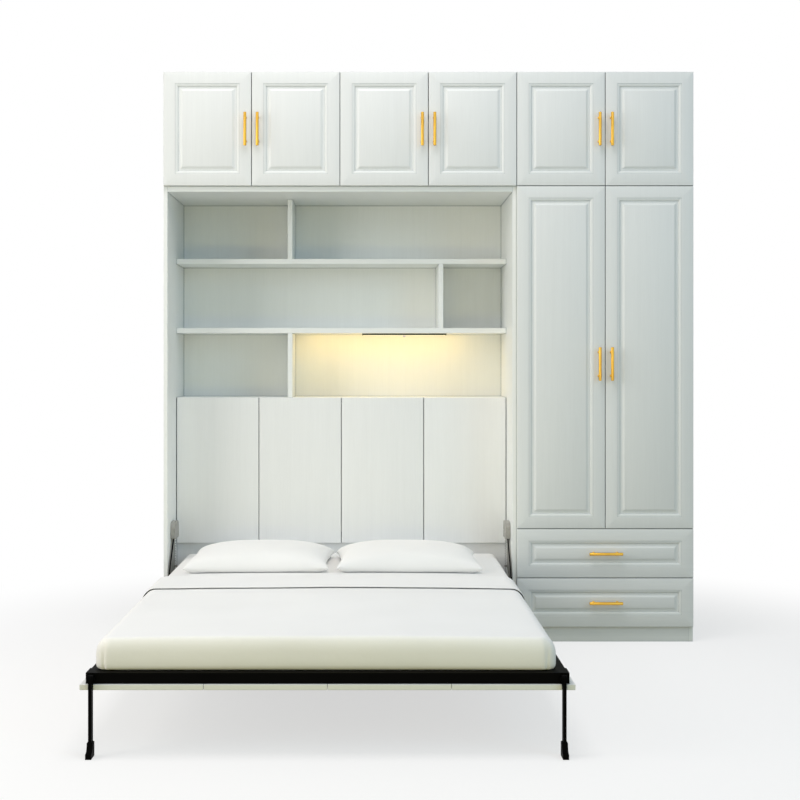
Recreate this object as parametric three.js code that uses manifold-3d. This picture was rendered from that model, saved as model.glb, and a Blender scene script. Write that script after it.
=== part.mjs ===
// A fold-down wall bed built into a storage wall. The iron bed frame swings up into an open bay
// with shelves. A row of cupboards runs over the bay, and a wardrobe with two doors over two
// drawers stands beside it.
// Sizes are in millimetres. X runs to the right, Y from the front to the wall, and Z up.
// The front edges of the cabinet boards lie at Y = 0 while the model is drawn.

import * as THREE from 'three';
import { mergeVertices } from 'three/addons/utils/BufferGeometryUtils.js';
import Module from 'manifold-3d';

// Storage wall, whose modules are a quarter of the bay wide
const bayModules = 4;
const wallModules = 6;
const board = 18;
const backBoard = 9;
const plinthHeight = 70;
const drawerFrontHeight = 228;
const tallDoorHeight = 1590;
const overheadDoorHeight = 530;
const doorGap = 3;
const doorThickness = 18;

// Clearances
const seatGap = 0.3;
const bedSideRoom = 12;
const overrun = 10;
const weldTolerance = 0.001;

// Bay, shelves and the cupboard behind the pillows
const bayTopThickness = 25;
const shelfThickness = 24;
const dividerThickness = 22;
const shelfDepth = 250;
const foldingRoom = 271;
const upperShelfTop = 1801;
const middleShelfTop = 1465;
const cupboardTop = 1128;
const cupboardFloorHeight = 421;
const leftDividerPlace = 553;
const rightDividerPlace = 1286;
const cupboardDoors = 4;

// Raised fronts
const stileWidth = 54;
const mouldingStep = 1.5;
const mouldingWidth = 14;
const mouldingDepth = 8;
const grooveWidth = 10;
const bevelWidth = 10;
const fieldDrop = 1;
const frontEdgeRadius = 1.5;

// Bar handles
const handleLength = 155;
const handleRadius = 7;
const handleChamfer = 1.5;
const handlePostSpacing = 110;
const handlePostRadius = 5;
const handleStandoff = 26;
const handleInset = 27;
const overheadHandleDrop = 5;
const wardrobeHandleDrop = 31;

// Drawers and wardrobe inside
const drawerBackRoom = 80;
const drawerBoxHeight = 150;
const drawerBoxLift = 28;
const drawerWall = 12;
const runnerWidth = 12.2;
const runnerHeight = 45;
const hangingRailRadius = 12.5;
const hangingRailDrop = 60;

// Light bar under the middle shelf
const lightBarLength = 415;
const lightBarWidth = 18;
const lightBarHeight = 10;
const lightBarPlace = 1110;
const lightBarSetback = 80;
const sensorRadius = 7;

// Bed
const mattressWidth = 1500;
const mattressLength = 1985;
const mattressThickness = 130;
const mattressEdgeRadius = 25;
const mattressCornerRadius = 60;
const mattressClearance = 5;
const frameBottom = 235;
const railHeight = 36;
const railWidth = 35;
const railWall = 3;
const deckHeight = 15;
const slatCount = 12;
const slatWidth = 60;
const headStrip = 6;
const headClearance = 17;
const footCapLength = 70;
const footCapThickness = 5;

// Face panels under the bed, which close the bay when it is folded up
const facePanels = 4;
const facePanelThickness = 18;
const facePanelGap = 1.5;
const faceSideReveal = 7;
const faceFootOverhang = 12;
const faceSideClearance = 2;

// Fold hinge and lift mechanism
const pivotHeight = 266;
const closedGap = 1;
const pivotPinRadius = 8;
const pivotRunningGap = 0.3;
const pivotLugRadius = 22;
const pivotLugThickness = 20;
const pivotPinEnd = 24;
const wallPlateThickness = 4;
const wallPlateRadius = 26;
const studForward = 55;
const studUp = 20;
const studRadius = 5;
const studLugRadius = 12;
const studLugThickness = 8;
const rodThickness = 4;
const rodWidth = 10;
const rodPlateGap = 1.5;
const rodEyeRadius = 10;
const rodAim = { beforeBase: 113, height: 500 };
const rodShortfall = 40;
const housing = {
  length: 124, beforeBase: 80, belowAim: 38, aboveAim: 42, depth: 21.7, wall: 2.5, shoulder: 30,
};
const housingFoot = 12;
const plateMargin = 10;
const springBeforeBase = 96;
const springAbovePivot = 60;
const springInHousing = 35;
const springRadius = 5.5;
const springWire = 2.2;
const springTurns = 14;
const springLugHeight = 8;
const springLugWidth = 13;

// Fold-out legs
const legWidth = 11;
const legDepth = 28;
const legInset = 14;
const legPinRadius = 5;
const legEarThickness = 3;
const legEarGap = 0.5;
const legNotchGap = 2;
const shoeHeight = 48;
const shoeWidth = 20;
const toeLength = 24;
const toeHeight = 18;

// Covers and pillows
const coverThickness = 8;
const coverShoulderRadius = 42;
const coverHem = 0.6;
const coverBareHead = 761;
const foldedLength = 300;
const foldThickness = 5;
const crownHeight = 6;
const sideDraw = 4;
const pillow = { width: 650, length: 510, height: 106, beforeHead: 165, gap: 4, aside: 23, seamHeight: 16 };

// Facet counts
const cornerSteps = 4;
const roundSides = 12;

// Places worked out from the sizes above
const frameHalf = mattressWidth / 2 + mattressClearance + railWidth;
const bayInnerHalf = frameHalf + bedSideRoom;
const bayOuterWidth = 2 * (bayInnerHalf + board);
const moduleWidth = bayOuterWidth / bayModules;
const wallHalf = (wallModules * moduleWidth) / 2;
const bayCentre = -wallHalf + bayOuterWidth / 2;
const bayRight = -wallHalf + bayOuterWidth;
const drawersTop = plinthHeight + 2 * drawerFrontHeight;
const bayHeight = drawersTop + tallDoorHeight;
const wallHeight = bayHeight + overheadDoorHeight;
const cabinetDepth = foldingRoom + shelfDepth + backBoard;
const backFace = cabinetDepth - backBoard;
const shelfFront = foldingRoom;
const baseFront = shelfFront + doorThickness;
const drawerBoxLength = cabinetDepth - drawerBackRoom;
const frontBack = -seatGap;

const frameTop = frameBottom + railHeight;
const mattressBottom = frameBottom + deckHeight;
const mattressTop = mattressBottom + mattressThickness;
const headEnd = baseFront - headClearance;
const mattressHead = headEnd - headStrip - mattressClearance;
const mattressFoot = mattressHead - mattressLength;
const frameFoot = mattressFoot - mattressClearance - railWidth;
const pivotSetback = pivotHeight - frameBottom - closedGap;
const studSetback = pivotSetback - studForward;
const studHeight = pivotHeight + studUp;
const plateFace = bayInnerHalf - seatGap - wallPlateThickness;
const rodOuter = plateFace - rodPlateGap;
const rodInner = rodOuter - rodThickness;
const rodAimSetback = baseFront - rodAim.beforeBase;
const housingBack = baseFront - housing.beforeBase;
const housingFront = housingBack - housing.length;
const housingBottom = rodAim.height - housing.belowAim;
const housingTop = rodAim.height + housing.aboveAim;
const springSetback = baseFront - springBeforeBase;
const springBottom = pivotHeight + springAbovePivot;
const springTop = housingBottom + springInHousing;
const legPlace = frameHalf - legInset;
const legPivotHeight = frameBottom + railHeight / 2;
const legPivotSetback = frameFoot - seatGap - legDepth / 2;
const toeFront = legPivotSetback - legDepth / 2 - toeLength;
const coverHeadEdge = mattressHead - coverBareHead;
const foldEdge = coverHeadEdge - foldedLength;
const pillowMiddle = mattressHead - pillow.beforeHead - pillow.length / 2;

// Colours and finishes
const finishes = {
  white: { color: 0xe9eceb, roughness: 0.45, metalness: 0 },
  panelWhite: { color: 0xe4e8e6, roughness: 0.5, metalness: 0 },
  brass: { color: 0xcf9a3c, roughness: 0.3, metalness: 1 },
  blackIron: { color: 0x0c0c0d, roughness: 0.42, metalness: 0.6 },
  greyMetal: { color: 0x8d8e8a, roughness: 0.5, metalness: 0.4 },
  steel: { color: 0xb9bbbb, roughness: 0.35, metalness: 1 },
  lamp: { color: 0xfff0c8, roughness: 0.4, metalness: 0 },
  ticking: { color: 0xf1f1ec, roughness: 0.9, metalness: 0 },
  linen: { color: 0xf4f4ef, roughness: 0.95, metalness: 0 },
};

const wasm = await Module();
wasm.setup();

// A closed geometry as a solid that can be joined and cut
function toSolid(geometry) {
  const bare = geometry.clone();
  bare.deleteAttribute('normal');
  bare.deleteAttribute('uv');
  const welded = mergeVertices(bare, weldTolerance);
  const vertProperties = new Float32Array(welded.attributes.position.array);
  const triVerts = new Uint32Array(welded.index.array);
  return new wasm.Manifold(new wasm.Mesh({ numProp: 3, vertProperties, triVerts }));
}

function toGeometry(solid) {
  const { vertProperties, triVerts } = solid.getMesh();
  const geometry = new THREE.BufferGeometry();
  geometry.setAttribute('position', new THREE.BufferAttribute(vertProperties, 3));
  geometry.setIndex(new THREE.BufferAttribute(triVerts, 1));
  geometry.computeVertexNormals();
  return geometry;
}

function joined(...geometries) {
  return geometries.map(toSolid).reduce((whole, piece) => whole.add(piece));
}

// A box between two values on each axis
function slab(x0, x1, y0, y1, z0, z1) {
  const box = new THREE.BoxGeometry(x1 - x0, y1 - y0, z1 - z0);
  return box.translate((x0 + x1) / 2, (y0 + y1) / 2, (z0 + z1) / 2);
}

// An outline drawn in Y and Z, given a thickness from x0 to x1
function acrossX(outline, x0, x1) {
  const plate = new THREE.ExtrudeGeometry(outline, {
    depth: x1 - x0,
    bevelEnabled: false,
    curveSegments: cornerSteps * 2,
  });
  const turn = new THREE.Matrix4().makeBasis(
    new THREE.Vector3(0, 1, 0),
    new THREE.Vector3(0, 0, 1),
    new THREE.Vector3(1, 0, 0),
  );
  return plate.applyMatrix4(turn).translate(x0, 0, 0);
}

// An outline drawn in X and Z, given a length from y0 to y1
function alongY(outline, y0, y1) {
  const bar = new THREE.ExtrudeGeometry(outline, {
    depth: y1 - y0,
    bevelEnabled: false,
    curveSegments: cornerSteps * 2,
  });
  return bar.rotateX(Math.PI / 2).translate(0, y1, 0);
}

// A round bar along X
function rodAlongX(radius, x0, x1, y, z) {
  const bar = new THREE.CylinderGeometry(radius, radius, x1 - x0, roundSides);
  return bar.rotateZ(Math.PI / 2).translate((x0 + x1) / 2, y, z);
}

// The stretch between two distances from the bay's middle, on its left (-1) or right (1) side
function sideSpan(side, near, far) {
  const ends = [bayCentre + side * near, bayCentre + side * far];
  return [Math.min(...ends), Math.max(...ends)];
}

const unit = new THREE.Group();

function addPiece(parent, name, geometry, finish) {
  const mesh = new THREE.Mesh(geometry, new THREE.MeshStandardMaterial(finishes[finish]));
  mesh.name = name;
  parent.add(mesh);
  return mesh;
}

// Boards of the bay
function buildBayBoards() {
  const left = bayCentre - bayInnerHalf;
  const right = bayCentre + bayInnerHalf;
  const sideTop = bayHeight - seatGap;
  const topUnderside = bayHeight - bayTopThickness;
  const leftSide = slab(left - board, left, 0, cabinetDepth, 0, sideTop);
  const rightSide = slab(right, right + board, 0, cabinetDepth, 0, sideTop);
  const top = slab(left + seatGap, right - seatGap, 0, cabinetDepth, topUnderside, sideTop);
  const back = slab(
    left + seatGap, right - seatGap, backFace, cabinetDepth, 0, topUnderside - seatGap,
  );
  addPiece(unit, 'bay_side_left', leftSide, 'white');
  addPiece(unit, 'bay_side_right', rightSide, 'white');
  addPiece(unit, 'bay_top_board', top, 'white');
  addPiece(unit, 'bay_back_panel', back, 'white');
}

// A shelf with one divider standing on it, up to the board above
function shelfWithDivider(shelfTop, shelfStart, dividerPlace, dividerTop) {
  const left = bayCentre - bayInnerHalf + seatGap;
  const right = bayCentre + bayInnerHalf - seatGap;
  const back = backFace - seatGap;
  const shelf = slab(left, right, shelfStart, back, shelfTop - shelfThickness, shelfTop);
  const dividerLeft = bayCentre - bayInnerHalf + dividerPlace - dividerThickness / 2;
  const dividerRight = dividerLeft + dividerThickness;
  const divider = slab(
    dividerLeft, dividerRight, shelfFront, back, shelfTop, dividerTop - seatGap,
  );
  const root = slab(
    dividerLeft, dividerRight, shelfStart, back, shelfTop - shelfThickness / 2, shelfTop + board,
  );
  return toGeometry(joined(shelf, divider, root));
}

function buildShelves() {
  const topUnderside = bayHeight - bayTopThickness;
  const upperUnderside = upperShelfTop - shelfThickness;
  const middleUnderside = middleShelfTop - shelfThickness;
  const upper = shelfWithDivider(upperShelfTop, shelfFront, leftDividerPlace, topUnderside);
  const middle = shelfWithDivider(middleShelfTop, shelfFront, rightDividerPlace, upperUnderside);
  const lower = shelfWithDivider(cupboardTop, baseFront, leftDividerPlace, middleUnderside);
  addPiece(unit, 'shelf_upper', upper, 'white');
  addPiece(unit, 'shelf_middle', middle, 'white');
  addPiece(unit, 'cupboard_top', lower, 'white');
}

// The shallow cupboard behind the pillows: its floor, the base panel below and four flat doors
function buildCupboard() {
  const left = bayCentre - bayInnerHalf + seatGap;
  const right = bayCentre + bayInnerHalf - seatGap;
  const floor = slab(
    left, right, baseFront, backFace - seatGap, cupboardFloorHeight, cupboardFloorHeight + board,
  );
  const base = slab(left, right, baseFront, baseFront + board, 0, cupboardFloorHeight - seatGap);
  addPiece(unit, 'cupboard_floor', floor, 'white');
  addPiece(unit, 'headboard_base_panel', base, 'panelWhite');

  const pitch = (2 * bayInnerHalf - doorGap) / cupboardDoors;
  const height = cupboardTop - seatGap - cupboardFloorHeight;
  for (let i = 0; i < cupboardDoors; i += 1) {
    const front = flatFront(pitch - doorGap, height);
    const door = addPiece(unit, `cupboard_door_${i + 1}`, front, 'panelWhite');
    door.rotation.x = Math.PI / 2;
    door.position.set(left - seatGap + doorGap + i * pitch, baseFront - seatGap, cupboardFloorHeight);
  }
}

// A closed front made of rectangles, one inside the next, from its back edge to its middle.
// Each loop has an inset from the outer edge and a height above the back.
function nestedFront(width, height, loops) {
  const points = [];
  const faces = [];
  for (const { inset, level } of loops) {
    points.push(
      inset, inset, level,
      width - inset, inset, level,
      width - inset, height - inset, level,
      inset, height - inset, level,
    );
  }
  for (let k = 0; k + 1 < loops.length; k += 1) {
    for (let j = 0; j < 4; j += 1) {
      const a = 4 * k + j;
      const b = 4 * k + ((j + 1) % 4);
      faces.push(a, b, b + 4, a, b + 4, a + 4);
    }
  }
  const last = 4 * (loops.length - 1);
  faces.push(last, last + 1, last + 2, last, last + 2, last + 3);
  faces.push(0, 2, 1, 0, 3, 2);
  const geometry = new THREE.BufferGeometry();
  geometry.setAttribute('position', new THREE.Float32BufferAttribute(points, 3));
  geometry.setIndex(faces);
  geometry.computeVertexNormals();
  return geometry;
}

// The back, the side and the softened edge that every front shares
function edgeLoops(thickness) {
  return [
    { inset: 0, level: 0 },
    { inset: 0, level: thickness - frontEdgeRadius },
    { inset: frontEdgeRadius, level: thickness },
  ];
}

function flatFront(width, height) {
  return nestedFront(width, height, edgeLoops(doorThickness));
}

// A raised-panel front: flat stile, a small step, a quarter-round moulding, groove, bevel and raised field
function raisedFront(width, height, thickness) {
  const loops = edgeLoops(thickness);
  loops.push({ inset: stileWidth, level: thickness });
  for (let i = 0; i <= cornerSteps; i += 1) {
    const angle = (Math.PI / 2) * (i / cornerSteps);
    loops.push({
      inset: stileWidth + mouldingWidth * Math.sin(angle),
      level: thickness - mouldingStep - (mouldingDepth - mouldingStep) * (1 - Math.cos(angle)),
    });
  }
  const groove = stileWidth + mouldingWidth + grooveWidth;
  loops.push({ inset: groove, level: thickness - mouldingDepth });
  loops.push({ inset: groove + bevelWidth, level: thickness - fieldDrop });
  return nestedFront(width, height, loops);
}

// A round bar handle on two posts, its bar along Y and its posts along Z from the front's face
function barHandle() {
  const half = handleLength / 2;
  const profile = [
    new THREE.Vector2(0, -half),
    new THREE.Vector2(handleRadius - handleChamfer, -half),
    new THREE.Vector2(handleRadius, -half + handleChamfer),
    new THREE.Vector2(handleRadius, half - handleChamfer),
    new THREE.Vector2(handleRadius - handleChamfer, half),
    new THREE.Vector2(0, half),
  ];
  const bar = new THREE.LatheGeometry(profile, roundSides).translate(0, 0, handleStandoff);
  const posts = [-1, 1].map((end) => {
    const post = new THREE.CylinderGeometry(
      handlePostRadius, handlePostRadius, handleStandoff - seatGap, roundSides / 2,
    );
    post.rotateX(Math.PI / 2);
    return post.translate(0, (end * handlePostSpacing) / 2, (handleStandoff + seatGap) / 2);
  });
  return toGeometry(joined(bar, ...posts));
}

const handleShape = barHandle();

// A hinged door: hingeSide is -1 when its hinges are on the left and 1 when they are on the right.
// Its handle sits below the middle of its height by a given drop.
function addDoor(name, handleName, hingeX, hingeSide, bottom, height, handleDrop) {
  const width = moduleWidth - doorGap;
  const door = new THREE.Group();
  door.position.set(hingeX - (hingeSide * doorGap) / 2, frontBack - doorThickness, bottom + doorGap / 2);
  unit.add(door);

  const front = addPiece(door, name, raisedFront(width, height - doorGap, doorThickness), 'white');
  front.rotation.x = Math.PI / 2;
  front.position.set(hingeSide < 0 ? 0 : -width, doorThickness, 0);

  const handle = addPiece(door, handleName, handleShape, 'brass');
  handle.rotation.x = Math.PI / 2;
  handle.position.set(-hingeSide * (width - handleInset), 0, (height - doorGap) / 2 - handleDrop);
}

function buildDoors() {
  for (let i = 0; i < wallModules; i += 1) {
    const leftHung = i % 2 === 0;
    const hingeX = -wallHalf + (leftHung ? i : i + 1) * moduleWidth;
    addDoor(
      `overhead_door_${i + 1}`, `overhead_handle_${i + 1}`, hingeX, leftHung ? -1 : 1,
      bayHeight, overheadDoorHeight, overheadHandleDrop,
    );
  }
  [['left', bayRight, -1], ['right', wallHalf, 1]].forEach(([name, hingeX, hingeSide]) => {
    addDoor(
      `wardrobe_door_${name}`, `wardrobe_handle_${name}`, hingeX, hingeSide,
      drawersTop, tallDoorHeight, wardrobeHandleDrop,
    );
  });
}

// The overhead box with three compartments, each behind a pair of doors
function buildOverheadCarcass() {
  const partitions = [-wallHalf + board / 2, -moduleWidth, moduleWidth, wallHalf - board / 2];
  const uprights = partitions.map((x) => slab(
    x - board / 2, x + board / 2, 0, cabinetDepth, bayHeight, wallHeight,
  ));
  const floor = slab(-wallHalf, wallHalf, 0, cabinetDepth, bayHeight, bayHeight + board);
  const roof = slab(-wallHalf, wallHalf, 0, cabinetDepth, wallHeight - board, wallHeight);
  const back = slab(-wallHalf, wallHalf, backFace, cabinetDepth, bayHeight, wallHeight);
  addPiece(unit, 'overhead_carcass', toGeometry(joined(floor, roof, back, ...uprights)), 'white');
}

// The wardrobe box: drawers below, one tall space above, and the drawers' runners on its sides
function buildWardrobeCarcass() {
  const left = bayRight + seatGap;
  const top = bayHeight - seatGap;
  const inLeft = left + board;
  const inRight = wallHalf - board;
  const sides = [
    slab(left, inLeft, 0, cabinetDepth, 0, top),
    slab(inRight, wallHalf, 0, cabinetDepth, 0, top),
  ];
  const levels = [plinthHeight, drawersTop - board / 2, top - board];
  const boards = levels.map((z) => slab(left, wallHalf, 0, cabinetDepth, z, z + board));
  const back = slab(left, wallHalf, backFace, cabinetDepth, plinthHeight, top);
  const runners = [];
  for (let i = 0; i < 2; i += 1) {
    const middle = drawerBoxBottom(i) + drawerBoxHeight / 2;
    const low = middle - runnerHeight / 2;
    const high = middle + runnerHeight / 2;
    runners.push(slab(inLeft - board / 2, inLeft + runnerWidth, board, drawerBoxLength, low, high));
    runners.push(slab(inRight - runnerWidth, inRight + board / 2, board, drawerBoxLength, low, high));
  }
  const carcass = toGeometry(joined(...sides, ...boards, back, ...runners));
  addPiece(unit, 'wardrobe_carcass', carcass, 'white');

  const plinth = slab(inLeft + seatGap, inRight - seatGap, 0, board, 0, plinthHeight - seatGap);
  addPiece(unit, 'wardrobe_plinth', plinth, 'white');

  const rail = rodAlongX(
    hangingRailRadius, inLeft + seatGap, inRight - seatGap, backFace / 2, top - board - hangingRailDrop,
  );
  addPiece(unit, 'hanging_rail', rail, 'steel');
}

function drawerBoxBottom(index) {
  return plinthHeight + index * drawerFrontHeight + drawerBoxLift;
}

// Two drawers, each a box with a raised front and a level handle
function buildDrawers() {
  const inLeft = bayRight + seatGap + board;
  const inRight = wallHalf - board;
  const x0 = inLeft + runnerWidth + seatGap;
  const x1 = inRight - runnerWidth - seatGap;
  ['lower', 'upper'].forEach((level, index) => {
    const z0 = drawerBoxBottom(index);
    const z1 = z0 + drawerBoxHeight;
    const outside = toSolid(slab(x0, x1, 0, drawerBoxLength, z0, z1));
    const inside = toSolid(slab(
      x0 + drawerWall, x1 - drawerWall, drawerWall, drawerBoxLength - drawerWall,
      z0 + backBoard, z1 + overrun,
    ));
    const drawer = new THREE.Group();
    unit.add(drawer);
    addPiece(drawer, `drawer_box_${level}`, toGeometry(outside.subtract(inside)), 'white');

    const width = wallHalf - bayRight - doorGap;
    const height = drawerFrontHeight - doorGap;
    const bottom = plinthHeight + index * drawerFrontHeight + doorGap / 2;
    const shape = raisedFront(width, height, doorThickness);
    const front = addPiece(drawer, `drawer_front_${level}`, shape, 'white');
    front.rotation.x = Math.PI / 2;
    front.position.set(bayRight + doorGap / 2, frontBack, bottom);

    const handle = addPiece(drawer, `drawer_handle_${level}`, handleShape, 'brass');
    handle.rotation.set(Math.PI / 2, 0, Math.PI / 2);
    const field = frontBack - doorThickness + fieldDrop;
    handle.position.set((bayRight + wallHalf) / 2, field, bottom + height / 2);
  });
}

// A slim lamp under the middle shelf, with a domed sensor under its middle
function buildLightBar() {
  const middle = bayCentre - bayInnerHalf + lightBarPlace;
  const ceiling = middleShelfTop - shelfThickness - seatGap;
  const front = shelfFront + lightBarSetback;
  const bar = slab(
    middle - lightBarLength / 2, middle + lightBarLength / 2,
    front, front + lightBarWidth, ceiling - lightBarHeight, ceiling,
  );
  const sensor = new THREE.SphereGeometry(sensorRadius, roundSides, cornerSteps * 2);
  sensor.translate(middle, front + lightBarWidth / 2, ceiling - lightBarHeight);
  addPiece(unit, 'light_bar', toGeometry(joined(bar, sensor)), 'lamp');
}

// A channel section, open towards the bed's middle, with its web on the outside
function channelOutline(inner, outer) {
  const wall = Math.sign(outer - inner) * railWall;
  return new THREE.Shape([
    new THREE.Vector2(inner, frameBottom),
    new THREE.Vector2(outer, frameBottom),
    new THREE.Vector2(outer, frameTop),
    new THREE.Vector2(inner, frameTop),
    new THREE.Vector2(inner, frameTop - railWall),
    new THREE.Vector2(outer - wall, frameTop - railWall),
    new THREE.Vector2(outer - wall, frameBottom + railWall),
    new THREE.Vector2(inner, frameBottom + railWall),
  ]);
}

// A lug with a round top that stands on the rail, in Y and Z
function lugOutline(y, z, radius) {
  const outline = new THREE.Shape();
  outline.moveTo(y - radius, frameBottom + railHeight / 2);
  outline.lineTo(y + radius, frameBottom + railHeight / 2);
  outline.absarc(y, z, radius, 0, Math.PI, false);
  return outline;
}

// An ear that holds a leg's pin in front of the foot rail, in Y and Z
function earOutline() {
  const outline = new THREE.Shape();
  const radius = legDepth / 2;
  outline.moveTo(frameFoot + railWall, legPivotHeight + radius);
  outline.absarc(legPivotSetback, legPivotHeight, radius, Math.PI / 2, (3 * Math.PI) / 2, false);
  outline.lineTo(frameFoot + railWall, legPivotHeight - radius);
  return outline;
}

// A plate that fills a corner of the rails, its inner edge round like the mattress's corner.
// side is -1 on the left and 1 on the right, and end is -1 at the foot and 1 at the head.
function cornerGusset(side, end, cornerY) {
  const radius = mattressCornerRadius + mattressClearance;
  const inner = frameHalf - railWidth;
  const [near, far] = sideSpan(side, inner - radius, inner + railWall);
  const ends = [cornerY - end * radius, cornerY + (end * headStrip) / 2];
  const plate = slab(near, far, Math.min(...ends), Math.max(...ends), frameTop - railWall, frameTop);
  const round = new THREE.CylinderGeometry(radius, radius, 2 * overrun, 2 * roundSides);
  round.rotateX(Math.PI / 2);
  round.translate(bayCentre + side * (inner - radius), cornerY - end * radius, frameTop);
  return toGeometry(toSolid(plate).subtract(toSolid(round)));
}

// The welded iron frame: rails, cross bars, head strip, corner plates, hinge lugs, rod studs and
// leg ears, with a cap round the outside of each foot corner
function buildBedFrame() {
  const pieces = [];
  const cuts = [];
  const inner = frameHalf - railWidth;
  const crossTop = mattressBottom - seatGap;
  for (const side of [-1, 1]) {
    const section = channelOutline(bayCentre + side * inner, bayCentre + side * frameHalf);
    pieces.push(alongY(section, frameFoot, headEnd));

    const [lugNear, lugFar] = sideSpan(side, frameHalf - pivotLugThickness, frameHalf);
    pieces.push(acrossX(lugOutline(pivotSetback, pivotHeight, pivotLugRadius), lugNear, lugFar));
    const [cutNear, cutFar] = sideSpan(side, inner - overrun, frameHalf + overrun);
    cuts.push(rodAlongX(pivotPinRadius + pivotRunningGap, cutNear, cutFar, pivotSetback, pivotHeight));

    pieces.push(cornerGusset(side, -1, frameFoot + railWidth));
    pieces.push(cornerGusset(side, 1, headEnd - headStrip));
    const [capNear, capFar] = sideSpan(side, frameHalf - railWall / 2, frameHalf + footCapThickness);
    pieces.push(slab(capNear, capFar, frameFoot, frameFoot + footCapLength, frameBottom, frameTop));

    const [studNear, studFar] = sideSpan(side, frameHalf - studLugThickness, frameHalf);
    pieces.push(acrossX(lugOutline(studSetback, studHeight, studLugRadius), studNear, studFar));
    const [pinNear, pinFar] = sideSpan(side, frameHalf - studLugThickness / 2, rodOuter);
    pieces.push(rodAlongX(studRadius, pinNear, pinFar, studSetback, studHeight));

    for (const flank of [-1, 1]) {
      const near = legPlace + flank * (legWidth / 2 + legEarGap);
      const [earNear, earFar] = sideSpan(side, near, near + flank * legEarThickness);
      pieces.push(acrossX(earOutline(), earNear, earFar));
    }
    const pinHalf = legWidth / 2 + legEarGap + legEarThickness / 2;
    const [boltNear, boltFar] = sideSpan(side, legPlace - pinHalf, legPlace + pinHalf);
    pieces.push(rodAlongX(legPinRadius, boltNear, boltFar, legPivotSetback, legPivotHeight));
  }
  const footSection = channelOutline(frameFoot + railWidth, frameFoot);
  pieces.push(acrossX(footSection, bayCentre - frameHalf, bayCentre + frameHalf));
  pieces.push(slab(
    bayCentre - frameHalf, bayCentre + frameHalf, headEnd - headStrip, headEnd, frameBottom, frameTop,
  ));
  const pitch = (mattressLength - slatWidth) / (slatCount - 1);
  for (let i = 0; i < slatCount; i += 1) {
    const y = mattressFoot + i * pitch;
    pieces.push(slab(
      bayCentre - frameHalf + railWall / 2, bayCentre + frameHalf - railWall / 2,
      y, y + slatWidth, frameBottom + railWall / 2, crossTop,
    ));
  }
  let frame = joined(...pieces);
  for (const cut of cuts) {
    frame = frame.subtract(toSolid(cut));
  }
  return toGeometry(frame);
}

// Four raised boards under the frame. They overlap the bay's side boards in front of them, and
// are notched for the legs at the foot and narrowed behind the side boards' front edges.
function buildFacePanels(bed) {
  const half = bayOuterWidth / 2 - faceSideReveal;
  const pitch = (2 * half + facePanelGap) / facePanels;
  const foot = frameFoot - faceFootOverhang;
  const top = frameBottom - seatGap;
  const notches = [];
  for (const side of [-1, 1]) {
    const reach = legWidth / 2 + legNotchGap;
    const [legNear, legFar] = sideSpan(side, legPlace - reach, legPlace + reach);
    notches.push(slab(
      legNear, legFar, foot - overrun, frameFoot + legNotchGap,
      top - facePanelThickness - overrun, top + overrun,
    ));
    const [sideNear, sideFar] = sideSpan(side, bayInnerHalf - faceSideClearance, half + overrun);
    notches.push(slab(
      sideNear, sideFar, -closedGap, headEnd + overrun,
      top - facePanelThickness - overrun, top + overrun,
    ));
  }
  for (let i = 0; i < facePanels; i += 1) {
    const front = raisedFront(pitch - facePanelGap, headEnd - foot, facePanelThickness);
    front.rotateX(Math.PI).translate(bayCentre - half + i * pitch, headEnd, top);
    let panel = toSolid(front);
    for (const notch of notches) {
      panel = panel.subtract(toSolid(notch));
    }
    addPiece(bed, `face_panel_${i + 1}`, toGeometry(panel), 'white');
  }
}

// Points of a rectangle with round corners, anticlockwise, in X and Y
function roundedOutline(halfWidth, halfLength, radius, sideSteps) {
  const points = [];
  const corners = [[1, -1], [1, 1], [-1, 1], [-1, -1]];
  corners.forEach(([sx, sy], index) => {
    const cx = sx * (halfWidth - radius);
    const cy = sy * (halfLength - radius);
    const start = (index - 1) * (Math.PI / 2);
    for (let i = 0; i <= cornerSteps; i += 1) {
      const angle = start + (Math.PI / 2) * (i / cornerSteps);
      points.push(new THREE.Vector2(cx + radius * Math.cos(angle), cy + radius * Math.sin(angle)));
    }
    const [nx, ny] = corners[(index + 1) % 4];
    const from = points[points.length - 1];
    const angle = start + Math.PI / 2;
    const to = new THREE.Vector2(
      nx * (halfWidth - radius) + radius * Math.cos(angle),
      ny * (halfLength - radius) + radius * Math.sin(angle),
    );
    for (let i = 1; i < sideSteps; i += 1) {
      points.push(from.clone().lerp(to, i / sideSteps));
    }
  });
  return points;
}

// A closed soft form from stacked rings, each a list of 3-D points with the same count
function ringForm(rings) {
  const count = rings[0].length;
  const positions = [];
  const faces = [];
  const middle = (ring) => ring.reduce((sum, p) => sum.add(p), new THREE.Vector3()).divideScalar(count);
  for (const p of [middle(rings[0]), ...rings.flat(), middle(rings[rings.length - 1])]) {
    positions.push(p.x, p.y, p.z);
  }
  const last = 1 + rings.length * count;
  for (let i = 0; i < count; i += 1) {
    const next = (i + 1) % count;
    faces.push(0, 1 + next, 1 + i);
    faces.push(last, last - count + i, last - count + next);
    for (let k = 0; k + 1 < rings.length; k += 1) {
      const a = 1 + k * count + i;
      const b = 1 + k * count + next;
      faces.push(a, b, b + count, a, b + count, a + count);
    }
  }
  const geometry = new THREE.BufferGeometry();
  geometry.setAttribute('position', new THREE.Float32BufferAttribute(positions, 3));
  geometry.setIndex(faces);
  geometry.computeVertexNormals();
  return geometry;
}

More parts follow.
